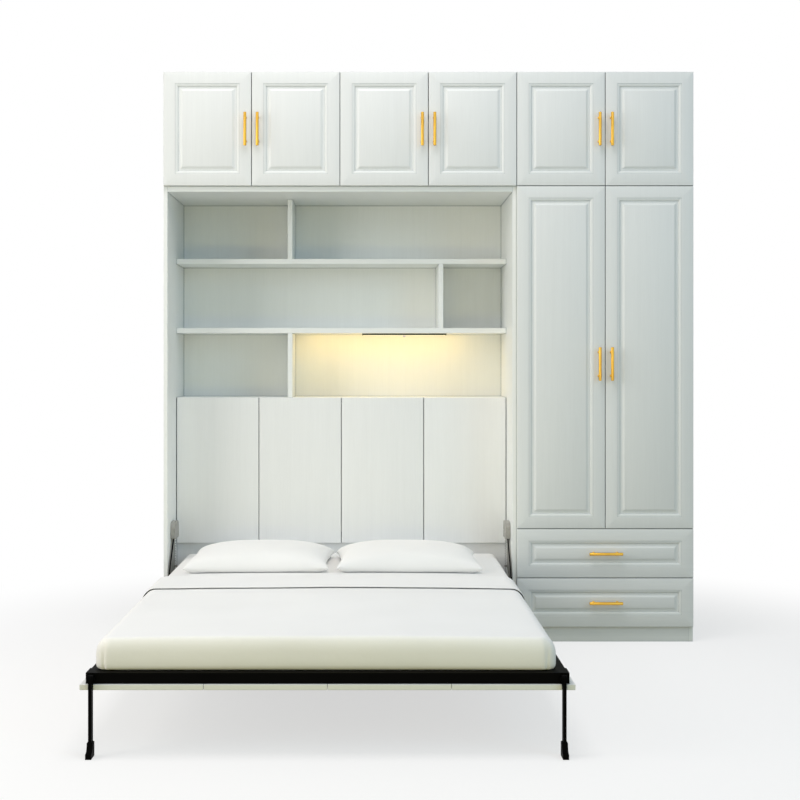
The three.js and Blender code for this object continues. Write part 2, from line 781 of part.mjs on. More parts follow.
// A boxed cushion with round edges, sides drawn in at half height and a crowned top
function boxedCushion({ halfWidth, halfLength, height, edge, corner, crown, draw }) {
  const sideSteps = 5;
  const rings = [];
  const addRing = (inset, z, crownShare) => {
    const outline = roundedOutline(
      halfWidth - inset, halfLength - inset, Math.max(corner - inset, corner / cornerSteps), sideSteps,
    );
    rings.push(outline.map((p) => new THREE.Vector3(p.x, p.y, z + crown * crownShare)));
  };
  for (let i = 0; i <= cornerSteps; i += 1) {
    const angle = (Math.PI / 2) * (i / cornerSteps);
    addRing(edge * (1 - Math.sin(angle)), edge * (1 - Math.cos(angle)), 0);
  }
  addRing(draw, height / 2, 0);
  for (let i = 0; i <= cornerSteps; i += 1) {
    const angle = (Math.PI / 2) * (i / cornerSteps);
    addRing(edge * (1 - Math.cos(angle)), height - edge * (1 - Math.sin(angle)), 0);
  }
  const innerShares = [0.25, 0.55, 0.85];
  for (const share of innerShares) {
    const crownShare = Math.sin((share * Math.PI) / 2);
    addRing(edge + share * (halfWidth - edge - corner / cornerSteps), height, crownShare);
  }
  return ringForm(rings);
}

function buildMattress(bed) {
  const form = boxedCushion({
    halfWidth: mattressWidth / 2,
    halfLength: mattressLength / 2,
    height: mattressThickness - crownHeight,
    edge: mattressEdgeRadius,
    corner: mattressCornerRadius,
    crown: crownHeight,
    draw: sideDraw,
  });
  const mattress = addPiece(bed, 'mattress', form, 'ticking');
  mattress.position.set(bayCentre, (mattressHead + mattressFoot) / 2, mattressBottom);
}

// The cover is a shell over the mattress, down to the rails, with its head end folded back
function buildCover(bed) {
  const length = mattressHead - mattressFoot;
  const skin = (grow, edge) => boxedCushion({
    halfWidth: mattressWidth / 2 + grow,
    halfLength: length / 2 + grow,
    height: mattressThickness - crownHeight + grow,
    edge,
    corner: mattressCornerRadius + grow,
    crown: crownHeight,
    draw: 0,
  }).translate(bayCentre, (mattressHead + mattressFoot) / 2, mattressBottom);
  const half = mattressWidth;
  const low = frameTop + coverHem;
  const high = mattressTop + 2 * board + foldThickness;
  const room = (y0, y1) => toSolid(slab(bayCentre - half, bayCentre + half, y0, y1, low, high));

  const whole = toSolid(skin(coverThickness, coverShoulderRadius)).intersect(room(frameFoot, coverHeadEdge));
  const folded = toSolid(skin(coverThickness + foldThickness, coverShoulderRadius))
    .intersect(room(foldEdge, coverHeadEdge));
  const core = toSolid(skin(seatGap, mattressEdgeRadius));
  const cover = whole.add(folded).subtract(core);
  addPiece(bed, 'duvet', toGeometry(cover), 'linen');
}

// A pillow: a flat underside, a soft seam round its rim and a crowned top, its sides drawn in
function pillowForm() {
  const steps = 36;
  const squareness = 4;
  const drawShare = 0.05;
  const rimShares = [0.35, 0.7, 0.9, 1];
  const middleShare = 0.15;
  const fallPower = 3;
  const crownPower = 0.6;
  const outline = (share) => {
    const ring = [];
    for (let i = 0; i < steps; i += 1) {
      const angle = (2 * Math.PI * i) / steps;
      const c = Math.cos(angle);
      const s = Math.sin(angle);
      const reach = (Math.abs(c) ** squareness + Math.abs(s) ** squareness) ** (-1 / squareness);
      const drawn = 1 - drawShare * Math.cos(2 * angle) ** 2;
      ring.push(new THREE.Vector2(
        (pillow.width / 2) * share * reach * drawn * c,
        (pillow.length / 2) * share * reach * drawn * s,
      ));
    }
    return ring;
  };
  const rings = [];
  const under = (share) => pillow.seamHeight * Math.max(0, (share - rimShares[1]) / (1 - rimShares[1])) ** 2;
  const crown = pillow.height - pillow.seamHeight;
  const over = (share) => pillow.seamHeight + crown * (1 - share ** fallPower) ** crownPower;
  for (const share of rimShares) {
    rings.push(outline(share).map((p) => new THREE.Vector3(p.x, p.y, under(share))));
  }
  for (const share of [...rimShares].reverse().slice(1).concat([middleShare])) {
    rings.push(outline(share).map((p) => new THREE.Vector3(p.x, p.y, over(share))));
  }
  return ringForm(rings);
}

function buildPillows(bed) {
  const form = pillowForm();
  ['left', 'right'].forEach((name, index) => {
    const mesh = addPiece(bed, `pillow_${name}`, form, 'linen');
    const x = bayCentre - pillow.aside + (index - 0.5) * (pillow.width + pillow.gap);
    mesh.position.set(x, pillowMiddle, mattressTop);
  });
}

// A steel plate on the bay's side, with the bed's hinge pin and a lug for the lift spring
function wallPlate(side) {
  const outline = new THREE.Shape();
  const front = housingFront + housing.wall + plateMargin;
  const back = housingBack - housing.wall - plateMargin / 2;
  const top = housingTop - housing.wall - plateMargin;
  outline.absarc(pivotSetback, pivotHeight, wallPlateRadius, Math.PI, 2 * Math.PI, false);
  outline.lineTo(back, springBottom - 2 * springLugHeight);
  outline.lineTo(back, top - housing.shoulder);
  outline.quadraticCurveTo(back, top, back - housing.shoulder, top);
  outline.lineTo(front + housing.shoulder, top);
  outline.quadraticCurveTo(front, top, front, top - housing.shoulder);
  outline.lineTo(front, housingBottom - plateMargin);
  const [plateNear, plateFar] = sideSpan(side, plateFace, plateFace + wallPlateThickness);
  const plate = acrossX(outline, plateNear, plateFar);

  const [pinNear, pinFar] = sideSpan(side, frameHalf - pivotPinEnd, plateFace + wallPlateThickness / 2);
  const pin = rodAlongX(pivotPinRadius, pinNear, pinFar, pivotSetback, pivotHeight);

  const [lugNear, lugFar] = sideSpan(side, plateFace - springLugWidth, plateFace + wallPlateThickness / 2);
  const lug = slab(
    lugNear, lugFar, springSetback - springLugWidth / 2, springSetback + springLugWidth / 2,
    springBottom - springLugHeight, springBottom - seatGap,
  );
  return toGeometry(joined(plate, pin, lug));
}

// The housing's outline in Y and Z, drawn in by an inset and reaching down to a given height
function housingOutline(inset, bottom, footRadius) {
  const outline = new THREE.Shape();
  const front = housingFront + inset;
  const back = housingBack - inset;
  const top = housingTop - inset;
  const shoulder = housing.shoulder - inset;
  outline.moveTo(front + footRadius, bottom);
  outline.lineTo(back - footRadius, bottom);
  outline.quadraticCurveTo(back, bottom, back, bottom + footRadius);
  outline.lineTo(back, top - shoulder);
  outline.absarc(back - shoulder, top - shoulder, shoulder, 0, Math.PI / 2, false);
  outline.absarc(front + shoulder, top - shoulder, shoulder, Math.PI / 2, Math.PI, false);
  outline.lineTo(front, bottom + footRadius);
  outline.quadraticCurveTo(front, bottom, front + footRadius, bottom);
  return outline;
}

// A moulded cap over the lift mechanism, open below and towards the board that it is fixed to
function springHousing(side) {
  const outer = bayInnerHalf - seatGap;
  const [near, far] = sideSpan(side, outer - housing.depth, outer);
  const [cutNear, cutFar] = sideSpan(side, outer - housing.depth + housing.wall, outer + overrun);
  const shell = toSolid(acrossX(housingOutline(0, housingBottom, housingFoot), near, far));
  const hollow = housingOutline(housing.wall, housingBottom - overrun, housing.wall);
  return toGeometry(shell.subtract(toSolid(acrossX(hollow, cutNear, cutFar))));
}

// The centre line of a coil spring that stands on Z and ends straight on its axis
class SpringPath extends THREE.Curve {
  getPoint(t, target = new THREE.Vector3()) {
    const height = springTop - springBottom;
    const along = t * height;
    const coil = THREE.MathUtils.clamp((along - springWire) / (height - 2 * springWire), 0, 1);
    const turn = coil * springTurns;
    const grow = THREE.MathUtils.smoothstep(Math.min(turn, springTurns - turn), 0, 1);
    const angle = turn * 2 * Math.PI;
    return target.set(
      springRadius * grow * Math.cos(angle), springRadius * grow * Math.sin(angle), springBottom + along,
    );
  }
}

function liftSpring() {
  const wire = new THREE.Shape();
  const wireSides = 5;
  const stepsPerTurn = 8;
  for (let i = 0; i < wireSides; i += 1) {
    const angle = (2 * Math.PI * i) / wireSides;
    const x = (springWire / 2) * Math.cos(angle);
    const y = (springWire / 2) * Math.sin(angle);
    if (i === 0) wire.moveTo(x, y);
    else wire.lineTo(x, y);
  }
  const path = new SpringPath();
  const steps = springTurns * stepsPerTurn;
  const coil = new THREE.ExtrudeGeometry(wire, { steps, extrudePath: path, bevelEnabled: false });
  let leastGap = Infinity;
  const points = path.getSpacedPoints(steps);
  for (let i = 0; i < points.length; i += 1) {
    for (let j = i + stepsPerTurn / 2; j < points.length; j += 1) {
      leastGap = Math.min(leastGap, points[i].distanceTo(points[j]) - springWire);
    }
  }
  console.log(`least gap between the turns of a lift spring: ${leastGap.toFixed(2)} mm`);
  return coil;
}

// A flat iron rod from the stud on the bed's rail up into the housing
function pullRod(side) {
  const rise = Math.atan2(rodAim.height - studHeight, rodAimSetback - studSetback);
  const length = Math.hypot(rodAim.height - studHeight, rodAimSetback - studSetback) - rodShortfall;
  const outline = new THREE.Shape();
  const half = rodWidth / 2;
  const neck = Math.sqrt(rodEyeRadius ** 2 - half ** 2);
  const neckAngle = Math.asin(half / rodEyeRadius);
  outline.moveTo(neck, -half);
  outline.lineTo(length - half, -half);
  outline.absarc(length - half, 0, half, -Math.PI / 2, Math.PI / 2, false);
  outline.lineTo(neck, half);
  outline.absarc(0, 0, rodEyeRadius, neckAngle, 2 * Math.PI - neckAngle, false);
  const eye = new THREE.Path();
  eye.absarc(0, 0, studRadius + pivotRunningGap, 0, 2 * Math.PI, true);
  outline.holes.push(eye);
  const [near, far] = sideSpan(side, rodInner, rodOuter);
  const rod = acrossX(outline, near, far);
  rod.rotateX(rise).translate(0, studSetback, studHeight);
  return rod;
}

function buildMechanism() {
  const spring = liftSpring();
  [['left', -1], ['right', 1]].forEach(([name, side]) => {
    addPiece(unit, `wall_plate_${name}`, wallPlate(side), 'greyMetal');
    addPiece(unit, `spring_housing_${name}`, springHousing(side), 'greyMetal');
    const coil = addPiece(unit, `lift_spring_${name}`, spring, 'steel');
    coil.position.set(bayCentre + side * (plateFace - springLugWidth / 2), springSetback, 0);
    addPiece(unit, `pull_rod_${name}`, pullRod(side), 'blackIron');
  });
}

// A leg that hangs from its pin, with a shoe whose toe points forward
function leg(side) {
  const round = legDepth / 2;
  const front = legPivotSetback - round;
  const back = legPivotSetback + round;
  const shank = new THREE.Shape();
  shank.moveTo(back, legPivotHeight);
  shank.absarc(legPivotSetback, legPivotHeight, round, 0, Math.PI, false);
  shank.lineTo(front, shoeHeight / 2);
  shank.lineTo(back, shoeHeight / 2);

  const shoe = new THREE.Shape();
  shoe.moveTo(back, 0);
  shoe.lineTo(back, shoeHeight);
  shoe.lineTo(front, shoeHeight);
  shoe.quadraticCurveTo(front, toeHeight, toeFront, toeHeight);
  shoe.lineTo(toeFront, 0);

  const [legNear, legFar] = sideSpan(side, legPlace - legWidth / 2, legPlace + legWidth / 2);
  const [shoeNear, shoeFar] = sideSpan(side, legPlace - shoeWidth / 2, legPlace + shoeWidth / 2);
  const [cutNear, cutFar] = sideSpan(side, legPlace - legWidth, legPlace + legWidth);
  const bore = rodAlongX(legPinRadius + pivotRunningGap, cutNear, cutFar, legPivotSetback, legPivotHeight);
  const whole = joined(acrossX(shank, legNear, legFar), acrossX(shoe, shoeNear, shoeFar));
  return toGeometry(whole.subtract(toSolid(bore)));
}

function buildBed() {
  const bed = new THREE.Group();
  unit.add(bed);
  addPiece(bed, 'bed_frame', buildBedFrame(), 'blackIron');
  buildFacePanels(bed);
  buildMattress(bed);
  buildCover(bed);
  buildPillows(bed);
  addPiece(bed, 'leg_left', leg(-1), 'blackIron');
  addPiece(bed, 'leg_right', leg(1), 'blackIron');
}

buildBayBoards();
buildShelves();
buildCupboard();
buildLightBar();
buildOverheadCarcass();
buildWardrobeCarcass();
buildDoors();
buildDrawers();
buildMechanism();
buildBed();

// The part's origin is on the floor, under the middle of its outline
unit.position.y = -(toeFront + cabinetDepth) / 2;
const wallBed = new THREE.Group();
wallBed.add(unit);

export default wallBed;
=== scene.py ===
"""The looks of a fold-down wall bed and its storage wall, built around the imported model.

Lengths are in metres. X runs to the right, Y from the front to the wall, and Z up.
"""

import math

import bmesh
import bpy
import numpy as np
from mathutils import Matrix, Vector, noise


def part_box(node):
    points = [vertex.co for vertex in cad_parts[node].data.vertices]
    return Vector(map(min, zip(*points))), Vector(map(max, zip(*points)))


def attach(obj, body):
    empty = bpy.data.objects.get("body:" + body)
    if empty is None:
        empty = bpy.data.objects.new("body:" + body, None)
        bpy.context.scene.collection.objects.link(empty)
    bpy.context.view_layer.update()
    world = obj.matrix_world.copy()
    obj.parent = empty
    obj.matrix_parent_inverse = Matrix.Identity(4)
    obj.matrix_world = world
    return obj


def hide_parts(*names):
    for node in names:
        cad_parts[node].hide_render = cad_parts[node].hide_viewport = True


MM = 0.001

# Raised fronts
STILE = 54 * MM
MOULDING_STEP = 1.5 * MM
MOULDING_WIDTH = 14 * MM
MOULDING_DEPTH = 8 * MM
GROOVE = 10 * MM
BEVEL = 10 * MM
FIELD_DROP = 1 * MM
FRONT_EDGE = 1.8 * MM
BACK_EDGE = 0.5 * MM
ARRIS = 0.4 * MM
MOULDING_STEPS = 10
EDGE_STEPS = 4

# Painted shade in grooves and inner corners, from ambient occlusion
GROOVE_SHADE_REACH = 7 * MM
GROOVE_SHADE_SHARE = 0.9
GROOVE_SHADE_SAMPLES = 8
GROOVE_SHADE_TINT = (0.28, 0.33, 0.36)

# Pressed wood grain: its features per metre, and how much it marks the film
GRAIN_ACROSS = 330.0
GRAIN_ALONG = 9.0
BROAD_GRAIN_SHARE = 0.16
FINE_WEIGHT_SHARE = 0.6
BROAD_WEIGHT_SHARE = 0.4
FILM_SMOOTHER = 0.06
FILM_ROUGHER = 0.08

# Woven threads for each unit of the wave texture's scale
THREADS_PER_UNIT = 20

# Bar handles
HANDLE_RADIUS = 7 * MM
HANDLE_CHAMFER = 1.6 * MM
POST_SPACING = 110 * MM
POST_RADIUS = 5 * MM
POST_COLLAR = 6.8 * MM
COLLAR_HEIGHT = 1.6 * MM
COLLAR_TAPER = 0.8 * MM
ROUND_SIDES = 32

# Edges of the boards and metal parts that come straight from the frame
BOARD_EDGE = 0.9 * MM
METAL_EDGE = 1.2 * MM
WELD = 0.01 * MM

# The turns from which an edge is flat, shaded sharp, rounded, and split
FLAT_TURN = math.radians(0.5)
SHARP_TURN = math.radians(28)
ROUNDED_TURN = math.radians(40)
SQUARE_TURN = math.radians(60)

# Bed cover
COVER_STEP = 11 * MM
COVER_CLOTH = 2.2 * MM
COVER_LEFT = 8 * MM
COVER_SPREAD = 4 * MM
CORNER_REACH = 50 * MM
SIDE_SHOULDER = (48 * MM, 54 * MM)
FOOT_SHOULDER = (19 * MM, 44 * MM)
HEM_CURL = 9 * MM
COVER_WAVE = 1.8 * MM
SIDE_WAVE = 2.5 * MM
FOOT_BELLY = 3 * MM
SIDE_WAVES = 4.0
HEM_PULL_SHARE = 0.6
TUCK_DEPTH = 5 * MM
TUCK_TURN = math.radians(69)
TUCK_WIDTH = math.radians(6)
FOLD_LENGTH = 300 * MM
FOLD_LIFT = 7 * MM
FOLD_TURN = 5 * MM
FOLD_STEPS = 5
FOLD_WAVE = 0.3 * MM
FOLD_WAVES = (0.06, 0.12)
FOLD_SEED = 3.0
SWELLS = (3.1, 2.3, 2.0)
SWELL_FALLOFF = 1.0
SWELL_FINER = 2.0
SWELL_OCTAVES = 3

# Pillows
PILLOW_STEP = 10 * MM
PILLOW_EARS = (22 * MM, 9 * MM)
PILLOW_DRAW = (18 * MM, 12 * MM)
PILLOW_INNER_DRAW = 16 * MM
PILLOW_SEAM_SHARE = 0.15
PILLOW_SQUARENESS = 2.8
PILLOW_UNDER_SLOPE = 2.2
PILLOW_CLOTH = {"pressure": 2.0, "stiffness": 12.0, "bending": 0.15, "frames": 16, "cap": 12 * MM}

# Mattress
MATTRESS_CROWN = 6 * MM
MATTRESS_INSET = 3 * MM
MATTRESS_TOP_INSET = 0.4 * MM
MATTRESS_EDGE = 22 * MM
MATTRESS_VOXEL = 14 * MM
MATTRESS_CLOTH = {"pressure": 3.0, "stiffness": 25.0, "bending": 2.0, "frames": 16, "cap": 5 * MM}
COVER_ROOM = 1.5 * MM

# Lift springs
SPRING_RADIUS = 5.5 * MM
SPRING_WIRE = 2.2 * MM
SPRING_TURNS = 14
SPRING_SIDES = 10
SPRING_STEPS = 22

# Light bar
LAMP_SENSOR_RADIUS = 7 * MM
LAMP_COVER_HEIGHT = 1.5 * MM
LAMP_END_CAP = 6 * MM
LAMP_LIP = 1.5 * MM
LAMP_EDGE = 0.6 * MM
DOME_STEPS = 8

# Bolts, screws, hinges and flanges
HEX_RADIUS = 5.8 * MM
HEX_HEIGHT = 4 * MM
HEX_CHAMFER = 0.8 * MM
HEX_SIDES = 6
WASHER_RADIUS = 7 * MM
WASHER_HEIGHT = 1 * MM
LEG_DEPTH = 28 * MM
LEG_EARS_HALF = 9 * MM
SCREW_RADIUS = 3.2 * MM
SCREW_HEIGHT_SHARE = 0.4
SCREW_PROFILE_SHARES = ((0, 0), (1, 0), (1, 0.4), (0.86, 0.8), (0.6, 1), (0.22, 1), (0.16, 0.4), (0, 0.3))
SCREW_SIDES = 16
FLANGE_LIP = 9 * MM
FLANGE_WALL = 2 * MM
FLANGE_HEIGHT = 9 * MM
CUP_INSET = 22.5 * MM
CUP_RADIUS = 17.5 * MM
CUP_RIM = 1.2 * MM
CUP_PROUD = 0.2 * MM
CUP_FROM_END = 95 * MM
PLATE_SETBACK = 20 * MM
PLATE_LENGTH = 52 * MM
PLATE_WIDTH = 18 * MM
PLATE_HEIGHT = 5 * MM
PLATE_EDGE = 0.8 * MM
PLATE_SCREW_SHARES = (0.25, 0.75)
OUTER_WALL = 16.5 * MM
MIDDLE_WALL = 7.5 * MM
OVERHEAD_HINGES = 2
WARDROBE_HINGES = 4
HOUSING_SCREW_SHARES = (0.2, 0.8)
HOUSING_SCREW_HEIGHT_SHARE = 0.42

# Floor, which fades to white between two distances
FLOOR_HALF = 40.0
FLOOR_DROP = 0.3 * MM
FLOOR_FADE = (1.6, 3.2)
FLOOR_SEEN = (0.96, 0.96, 0.96)
FLOOR_BOUNCE = (0.32, 0.32, 0.30)
FLOOR_WHITE_SHARE = 0.62

# Light: each lamp's name, place, aim, size, power in watts and colour
WORLD_COLOUR = (0.36, 0.373, 0.366)
PLAIN_WHITE = (1.0, 1.0, 1.0)
STUDIO_LIGHTS = (
    ("window_side", (-4.0, -1.6, 2.2), (0.0, 0.4, 1.2), (2.5, 2.5), 76, (1.0, 0.955, 0.90)),
    ("overhead_soft", (-0.5, -1.0, 4.6), (-0.4, -0.4, 0.4), (2.0, 2.0), 62, (1.0, 0.96, 0.965)),
    ("right_fill", (3.6, -3.6, 3.0), (0.0, 0.4, 1.0), (2.5, 2.5), 43, (0.40, 0.74, 1.0)),
    ("low_warm", (-0.4, -3.6, 0.3), (-0.4, -1.0, 0.35), (3.0, 0.5), 16, (1.0, 0.90, 0.30)),
)
GLOW_PLACE = -0.2
GLOW_SETBACK = 104 * MM
GLOW_RISE = 8 * MM
GLOW_AIM = Vector((0.0, 0.13, -0.18))
GLOW_SIZE = (0.8, 0.03)
GLOW_POWER = 0.6
GLOW_COLOUR = (1.0, 0.64, 0.14)

# Camera, in the photograph's 800 pixel frame
FRAME_PIXELS = 800
FOCAL_PIXELS = 1294.5
VANISHING_X = 370
VANISHING_Y = 367
SENSOR = 36.0
CAMERA_BEFORE_BOARDS = 6018 * MM
CAMERA_LEFT = 270.7 * MM
CAMERA_HEIGHT = 1276 * MM

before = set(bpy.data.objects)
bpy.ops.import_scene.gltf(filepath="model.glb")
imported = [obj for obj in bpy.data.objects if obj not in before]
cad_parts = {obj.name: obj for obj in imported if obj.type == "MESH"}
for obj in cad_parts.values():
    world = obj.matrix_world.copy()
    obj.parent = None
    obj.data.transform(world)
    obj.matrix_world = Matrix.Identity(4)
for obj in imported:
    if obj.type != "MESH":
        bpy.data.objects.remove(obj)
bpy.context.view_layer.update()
front_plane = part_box("bay_side_left")[0].y
mattress_low, mattress_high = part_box("mattress")


# Materials

def principled(name, colour, roughness, metallic=0.0, specular=0.5):
    material = bpy.data.materials.new(name)
    material.use_nodes = True
    shader = material.node_tree.nodes["Principled BSDF"]
    shader.inputs["Base Color"].default_value = (*colour, 1)
    shader.inputs["Roughness"].default_value = roughness
    shader.inputs["Metallic"].default_value = metallic
    shader.inputs["Specular IOR Level"].default_value = specular
    return material, material.node_tree, shader


def new_node(tree, kind, **values):
    """A new shader node, with the named ones of its sockets set."""
    node = tree.nodes.new("ShaderNode" + kind)
    for name, value in values.items():
        node.inputs[name.replace("_", " ").title()].default_value = value
    return node


def noise_field(tree, scale, detail=3.0, roughness=0.5):
    """A noise in features per metre: one number for all axes, or one for each."""
    coordinates = new_node(tree, "TexCoord")
    mapping = new_node(tree, "Mapping", scale=tuple(np.broadcast_to(scale, 3)))
    field = new_node(tree, "TexNoise", scale=1.0, detail=detail, roughness=roughness)
    tree.links.new(coordinates.outputs["Object"], mapping.inputs["Vector"])
    tree.links.new(mapping.outputs["Vector"], field.inputs["Vector"])
    return field.outputs["Fac"]


def worked_out(tree, operation, *values):
    """A number that a node works out of others, each a plain number or another node's output."""
    node = new_node(tree, "Math")
    node.operation = operation
    for socket, value in zip(node.inputs, values):
        if isinstance(value, float):
            socket.default_value = value
        else:
            tree.links.new(value, socket)
    return node.outputs[0]


def value_between(tree, factor, low, high):
    spread = new_node(tree, "MapRange", to_min=low, to_max=high)
    tree.links.new(factor, spread.inputs["Value"])
    return spread.outputs["Result"]


def vary_roughness(tree, shader, factor, low, high):
    tree.links.new(value_between(tree, factor, low, high), shader.inputs["Roughness"])


def colour_between(tree, shader, factor, dark, light, low=0.3, high=0.7, socket="Base Color"):
    ramp = new_node(tree, "ValToRGB")
    for element, place, colour in zip(ramp.color_ramp.elements, (low, high), (dark, light)):
        element.position = place
        element.color = (*colour, 1)
    tree.links.new(factor, ramp.inputs["Fac"])
    tree.links.new(ramp.outputs["Color"], shader.inputs[socket])
    return ramp.outputs["Color"]


def mottled(tree, shader, factor, colour, dark_share, light_share=1.0):
    """Lets a colour vary between two shares of its brightness."""
    dark, light = ([channel * share for channel in colour] for share in (dark_share, light_share))
    return colour_between(tree, shader, factor, dark, light)


def painted_groove_shade(tree, shader, colour):
    """Paints shade into a pale film, darker and bluer in its grooves and inner corners."""
    corner = new_node(tree, "AmbientOcclusion", distance=GROOVE_SHADE_REACH)
    corner.samples = GROOVE_SHADE_SAMPLES
    amount = value_between(tree, corner.outputs["AO"], GROOVE_SHADE_SHARE, 0.0)
    shade_mix = new_node(tree, "Mix")
    shade_mix.data_type = "RGBA"
    shade_mix.blend_type = "MULTIPLY"
    # painted shade: the bluish grey that the grooves and inner corners are darkened towards
    shade_mix.inputs["B"].default_value = (*GROOVE_SHADE_TINT, 1)
    tree.links.new(amount, shade_mix.inputs["Factor"])
    tree.links.new(colour, shade_mix.inputs["A"])
    tree.links.new(shade_mix.outputs["Result"], shader.inputs["Base Color"])


def relief(tree, shader, height, depth, strength=1.0, below=None):
    """Bump from a height of 0 to 1; below is a coarser bump under it."""
    bump = new_node(tree, "Bump", strength=strength, distance=depth)
    tree.links.new(height, bump.inputs["Height"])
    if below:
        tree.links.new(below.outputs["Normal"], bump.inputs["Normal"])
    tree.links.new(bump.outputs["Normal"], shader.inputs["Normal"])
    return bump


def film_material(name, colour, grain_axis, roughness=0.42, depth=0.12 * MM):
    """A smooth board film with a faint pressed wood grain along one axis."""
    material, tree, shader = principled(name, colour, roughness, specular=0.35)
    scale = [GRAIN_ACROSS] * 3
    scale["XYZ".index(grain_axis)] = GRAIN_ALONG
    fine = noise_field(tree, scale, detail=4.0, roughness=0.6)
    broad = noise_field(tree, [axis * BROAD_GRAIN_SHARE for axis in scale], detail=2.0)
    weight = value_between(tree, broad, 0.0, BROAD_WEIGHT_SHARE)
    grain = worked_out(tree, "MULTIPLY_ADD", fine, FINE_WEIGHT_SHARE, weight)
    # the grain's colour, with painted shade in the grooves and inner corners
    painted_groove_shade(tree, shader, mottled(tree, shader, grain, colour, dark_share=0.955))
    vary_roughness(tree, shader, fine, roughness - FILM_SMOOTHER, roughness + FILM_ROUGHER)
    relief(tree, shader, fine, depth)
    return material


def brass_material():
    """Satin gold-coloured metal."""
    colour = (0.66, 0.385, 0.06)
    material, tree, shader = principled("brushed_gold", colour, roughness=0.3, metallic=1.0)
    brush = noise_field(tree, 900.0, detail=2.0)
    cloud = noise_field(tree, 30.0, detail=2.0)
    mottled(tree, shader, cloud, colour, dark_share=0.95, light_share=1.07)
    vary_roughness(tree, shader, brush, low=0.24, high=0.4)
    relief(tree, shader, brush, depth=0.006 * MM)
    return material


def iron_material():
    """Black powder coat with its fine orange peel."""
    colour = (0.0012, 0.0012, 0.0012)
    material, tree, shader = principled("black_powder_coat", colour, roughness=0.5, specular=0.02)
    peel = noise_field(tree, 700.0, detail=2.0)
    wear = noise_field(tree, 14.0, detail=4.0)
    mottled(tree, shader, wear, colour, dark_share=0.75, light_share=1.5)
    vary_roughness(tree, shader, wear, low=0.42, high=0.6)
    relief(tree, shader, peel, depth=0.06 * MM)
    return material


def painted_steel_material():
    """Warm grey paint over pressed steel and moulded covers."""
    colour = (0.36, 0.355, 0.33)
    material, tree, shader = principled("grey_paint", colour, roughness=0.45, specular=0.4)
    cloud = noise_field(tree, 60.0, detail=4.0)
    peel = noise_field(tree, 900.0, detail=2.0)
    mottled(tree, shader, cloud, colour, dark_share=0.86, light_share=1.08)
    relief(tree, shader, peel, depth=0.05 * MM)
    return material


def zinc_material():
    """Zinc-plated steel for the springs, the rail, screws and hinges."""
    colour = (0.62, 0.62, 0.6)
    material, tree, shader = principled("zinc_plate", colour, roughness=0.32, metallic=1.0)
    cloud = noise_field(tree, 120.0)
    mottled(tree, shader, cloud, colour, dark_share=0.8, light_share=1.1)
    vary_roughness(tree, shader, cloud, low=0.25, high=0.42)
    return material


def weave(tree, threads):
    """A plain weave: a height from two crossing sets of threads, in threads per metre."""
    coordinates = new_node(tree, "TexCoord")
    heights = []
    for direction in ("X", "Y"):
        wave = new_node(
            tree, "TexWave", scale=threads / THREADS_PER_UNIT, distortion=0.6, detail=2.0, detail_scale=1.5
        )
        wave.wave_type = "BANDS"
        wave.bands_direction = direction
        tree.links.new(coordinates.outputs["UV"], wave.inputs["Vector"])
        heights.append(wave.outputs["Fac"])
    return worked_out(tree, "MAXIMUM", *heights)


def cloth_material(name, colour, threads, sheen):
    """Cotton: a fine weave, soft creases and a light sheen."""
    material, tree, shader = principled(name, colour, roughness=0.88, specular=0.2)
    shader.inputs["Sheen Weight"].default_value = sheen
    shader.inputs["Sheen Roughness"].default_value = 0.5
    crease = noise_field(tree, (7.0, 5.0, 9.0), detail=5.0, roughness=0.55)
    cloud = noise_field(tree, 3.0, detail=2.0)
    mottled(tree, shader, cloud, colour, dark_share=0.97)
    soft = relief(tree, shader, crease, depth=6 * MM, strength=0.35)
    relief(tree, shader, weave(tree, threads), depth=0.15 * MM, strength=0.5, below=soft)
    return material


def lamp_material():
    """The lamp's frosted cover, lit warm white."""
    material, tree, shader = principled("warm_lamp_cover", (1.0, 0.93, 0.75), roughness=0.5)
    shader.inputs["Emission Strength"].default_value = 1.0
    cloud = noise_field(tree, 25.0, detail=1.0)
    dim, lit = (1.0, 0.86, 0.5), (1.0, 0.92, 0.62)
    colour_between(tree, shader, cloud, dim, lit, low=0.0, high=1.0, socket="Emission Color")
    return material


def lamp_housing_material():
    """Satin grey-green anodised metal, drawn along its length."""
    colour = (0.12, 0.13, 0.09)
    material, tree, shader = principled("lamp_housing", colour, roughness=0.45, specular=0.3)
    drawn = noise_field(tree, (12.0, 900.0, 900.0))
    mottled(tree, shader, drawn, colour, dark_share=0.85, light_share=1.12)
    vary_roughness(tree, shader, drawn, low=0.34, high=0.5)
    return material


def sensor_material():
    """The milky violet lens of the lamp's switch."""
    material, tree, shader = principled("sensor_lens", (0.72, 0.66, 0.80), roughness=0.25)
    cloud = noise_field(tree, 200.0, detail=1.0)
    colour_between(tree, shader, cloud, (0.66, 0.60, 0.76), (0.78, 0.73, 0.85))
    return material


FRONT_WHITE = (0.835, 0.858, 0.85)
BOARD_WHITE = (0.90, 0.925, 0.91)
film_upright = film_material("front_film_upright", FRONT_WHITE, "Z")
film_level = film_material("front_film_level", FRONT_WHITE, "X")
film_deep = film_material("board_film_deep", FRONT_WHITE, "Y")
board_level = film_material("inside_film_level", BOARD_WHITE, "X")
board_upright = film_material("inside_film_upright", BOARD_WHITE, "Z")
film_plain = film_material("plain_film", (0.87, 0.885, 0.88), "Z", roughness=0.48, depth=0.08 * MM)
brass = brass_material()
iron = iron_material()
grey_paint = painted_steel_material()
zinc = zinc_material()
cotton = cloth_material("white_cotton", (0.945, 0.945, 0.935), threads=1400, sheen=0.12)
ticking = cloth_material("mattress_knit", (0.91, 0.905, 0.895), threads=700, sheen=0.2)
lamp_cover = lamp_material()
lamp_housing = lamp_housing_material()
sensor_lens = sensor_material()


# Mesh helpers

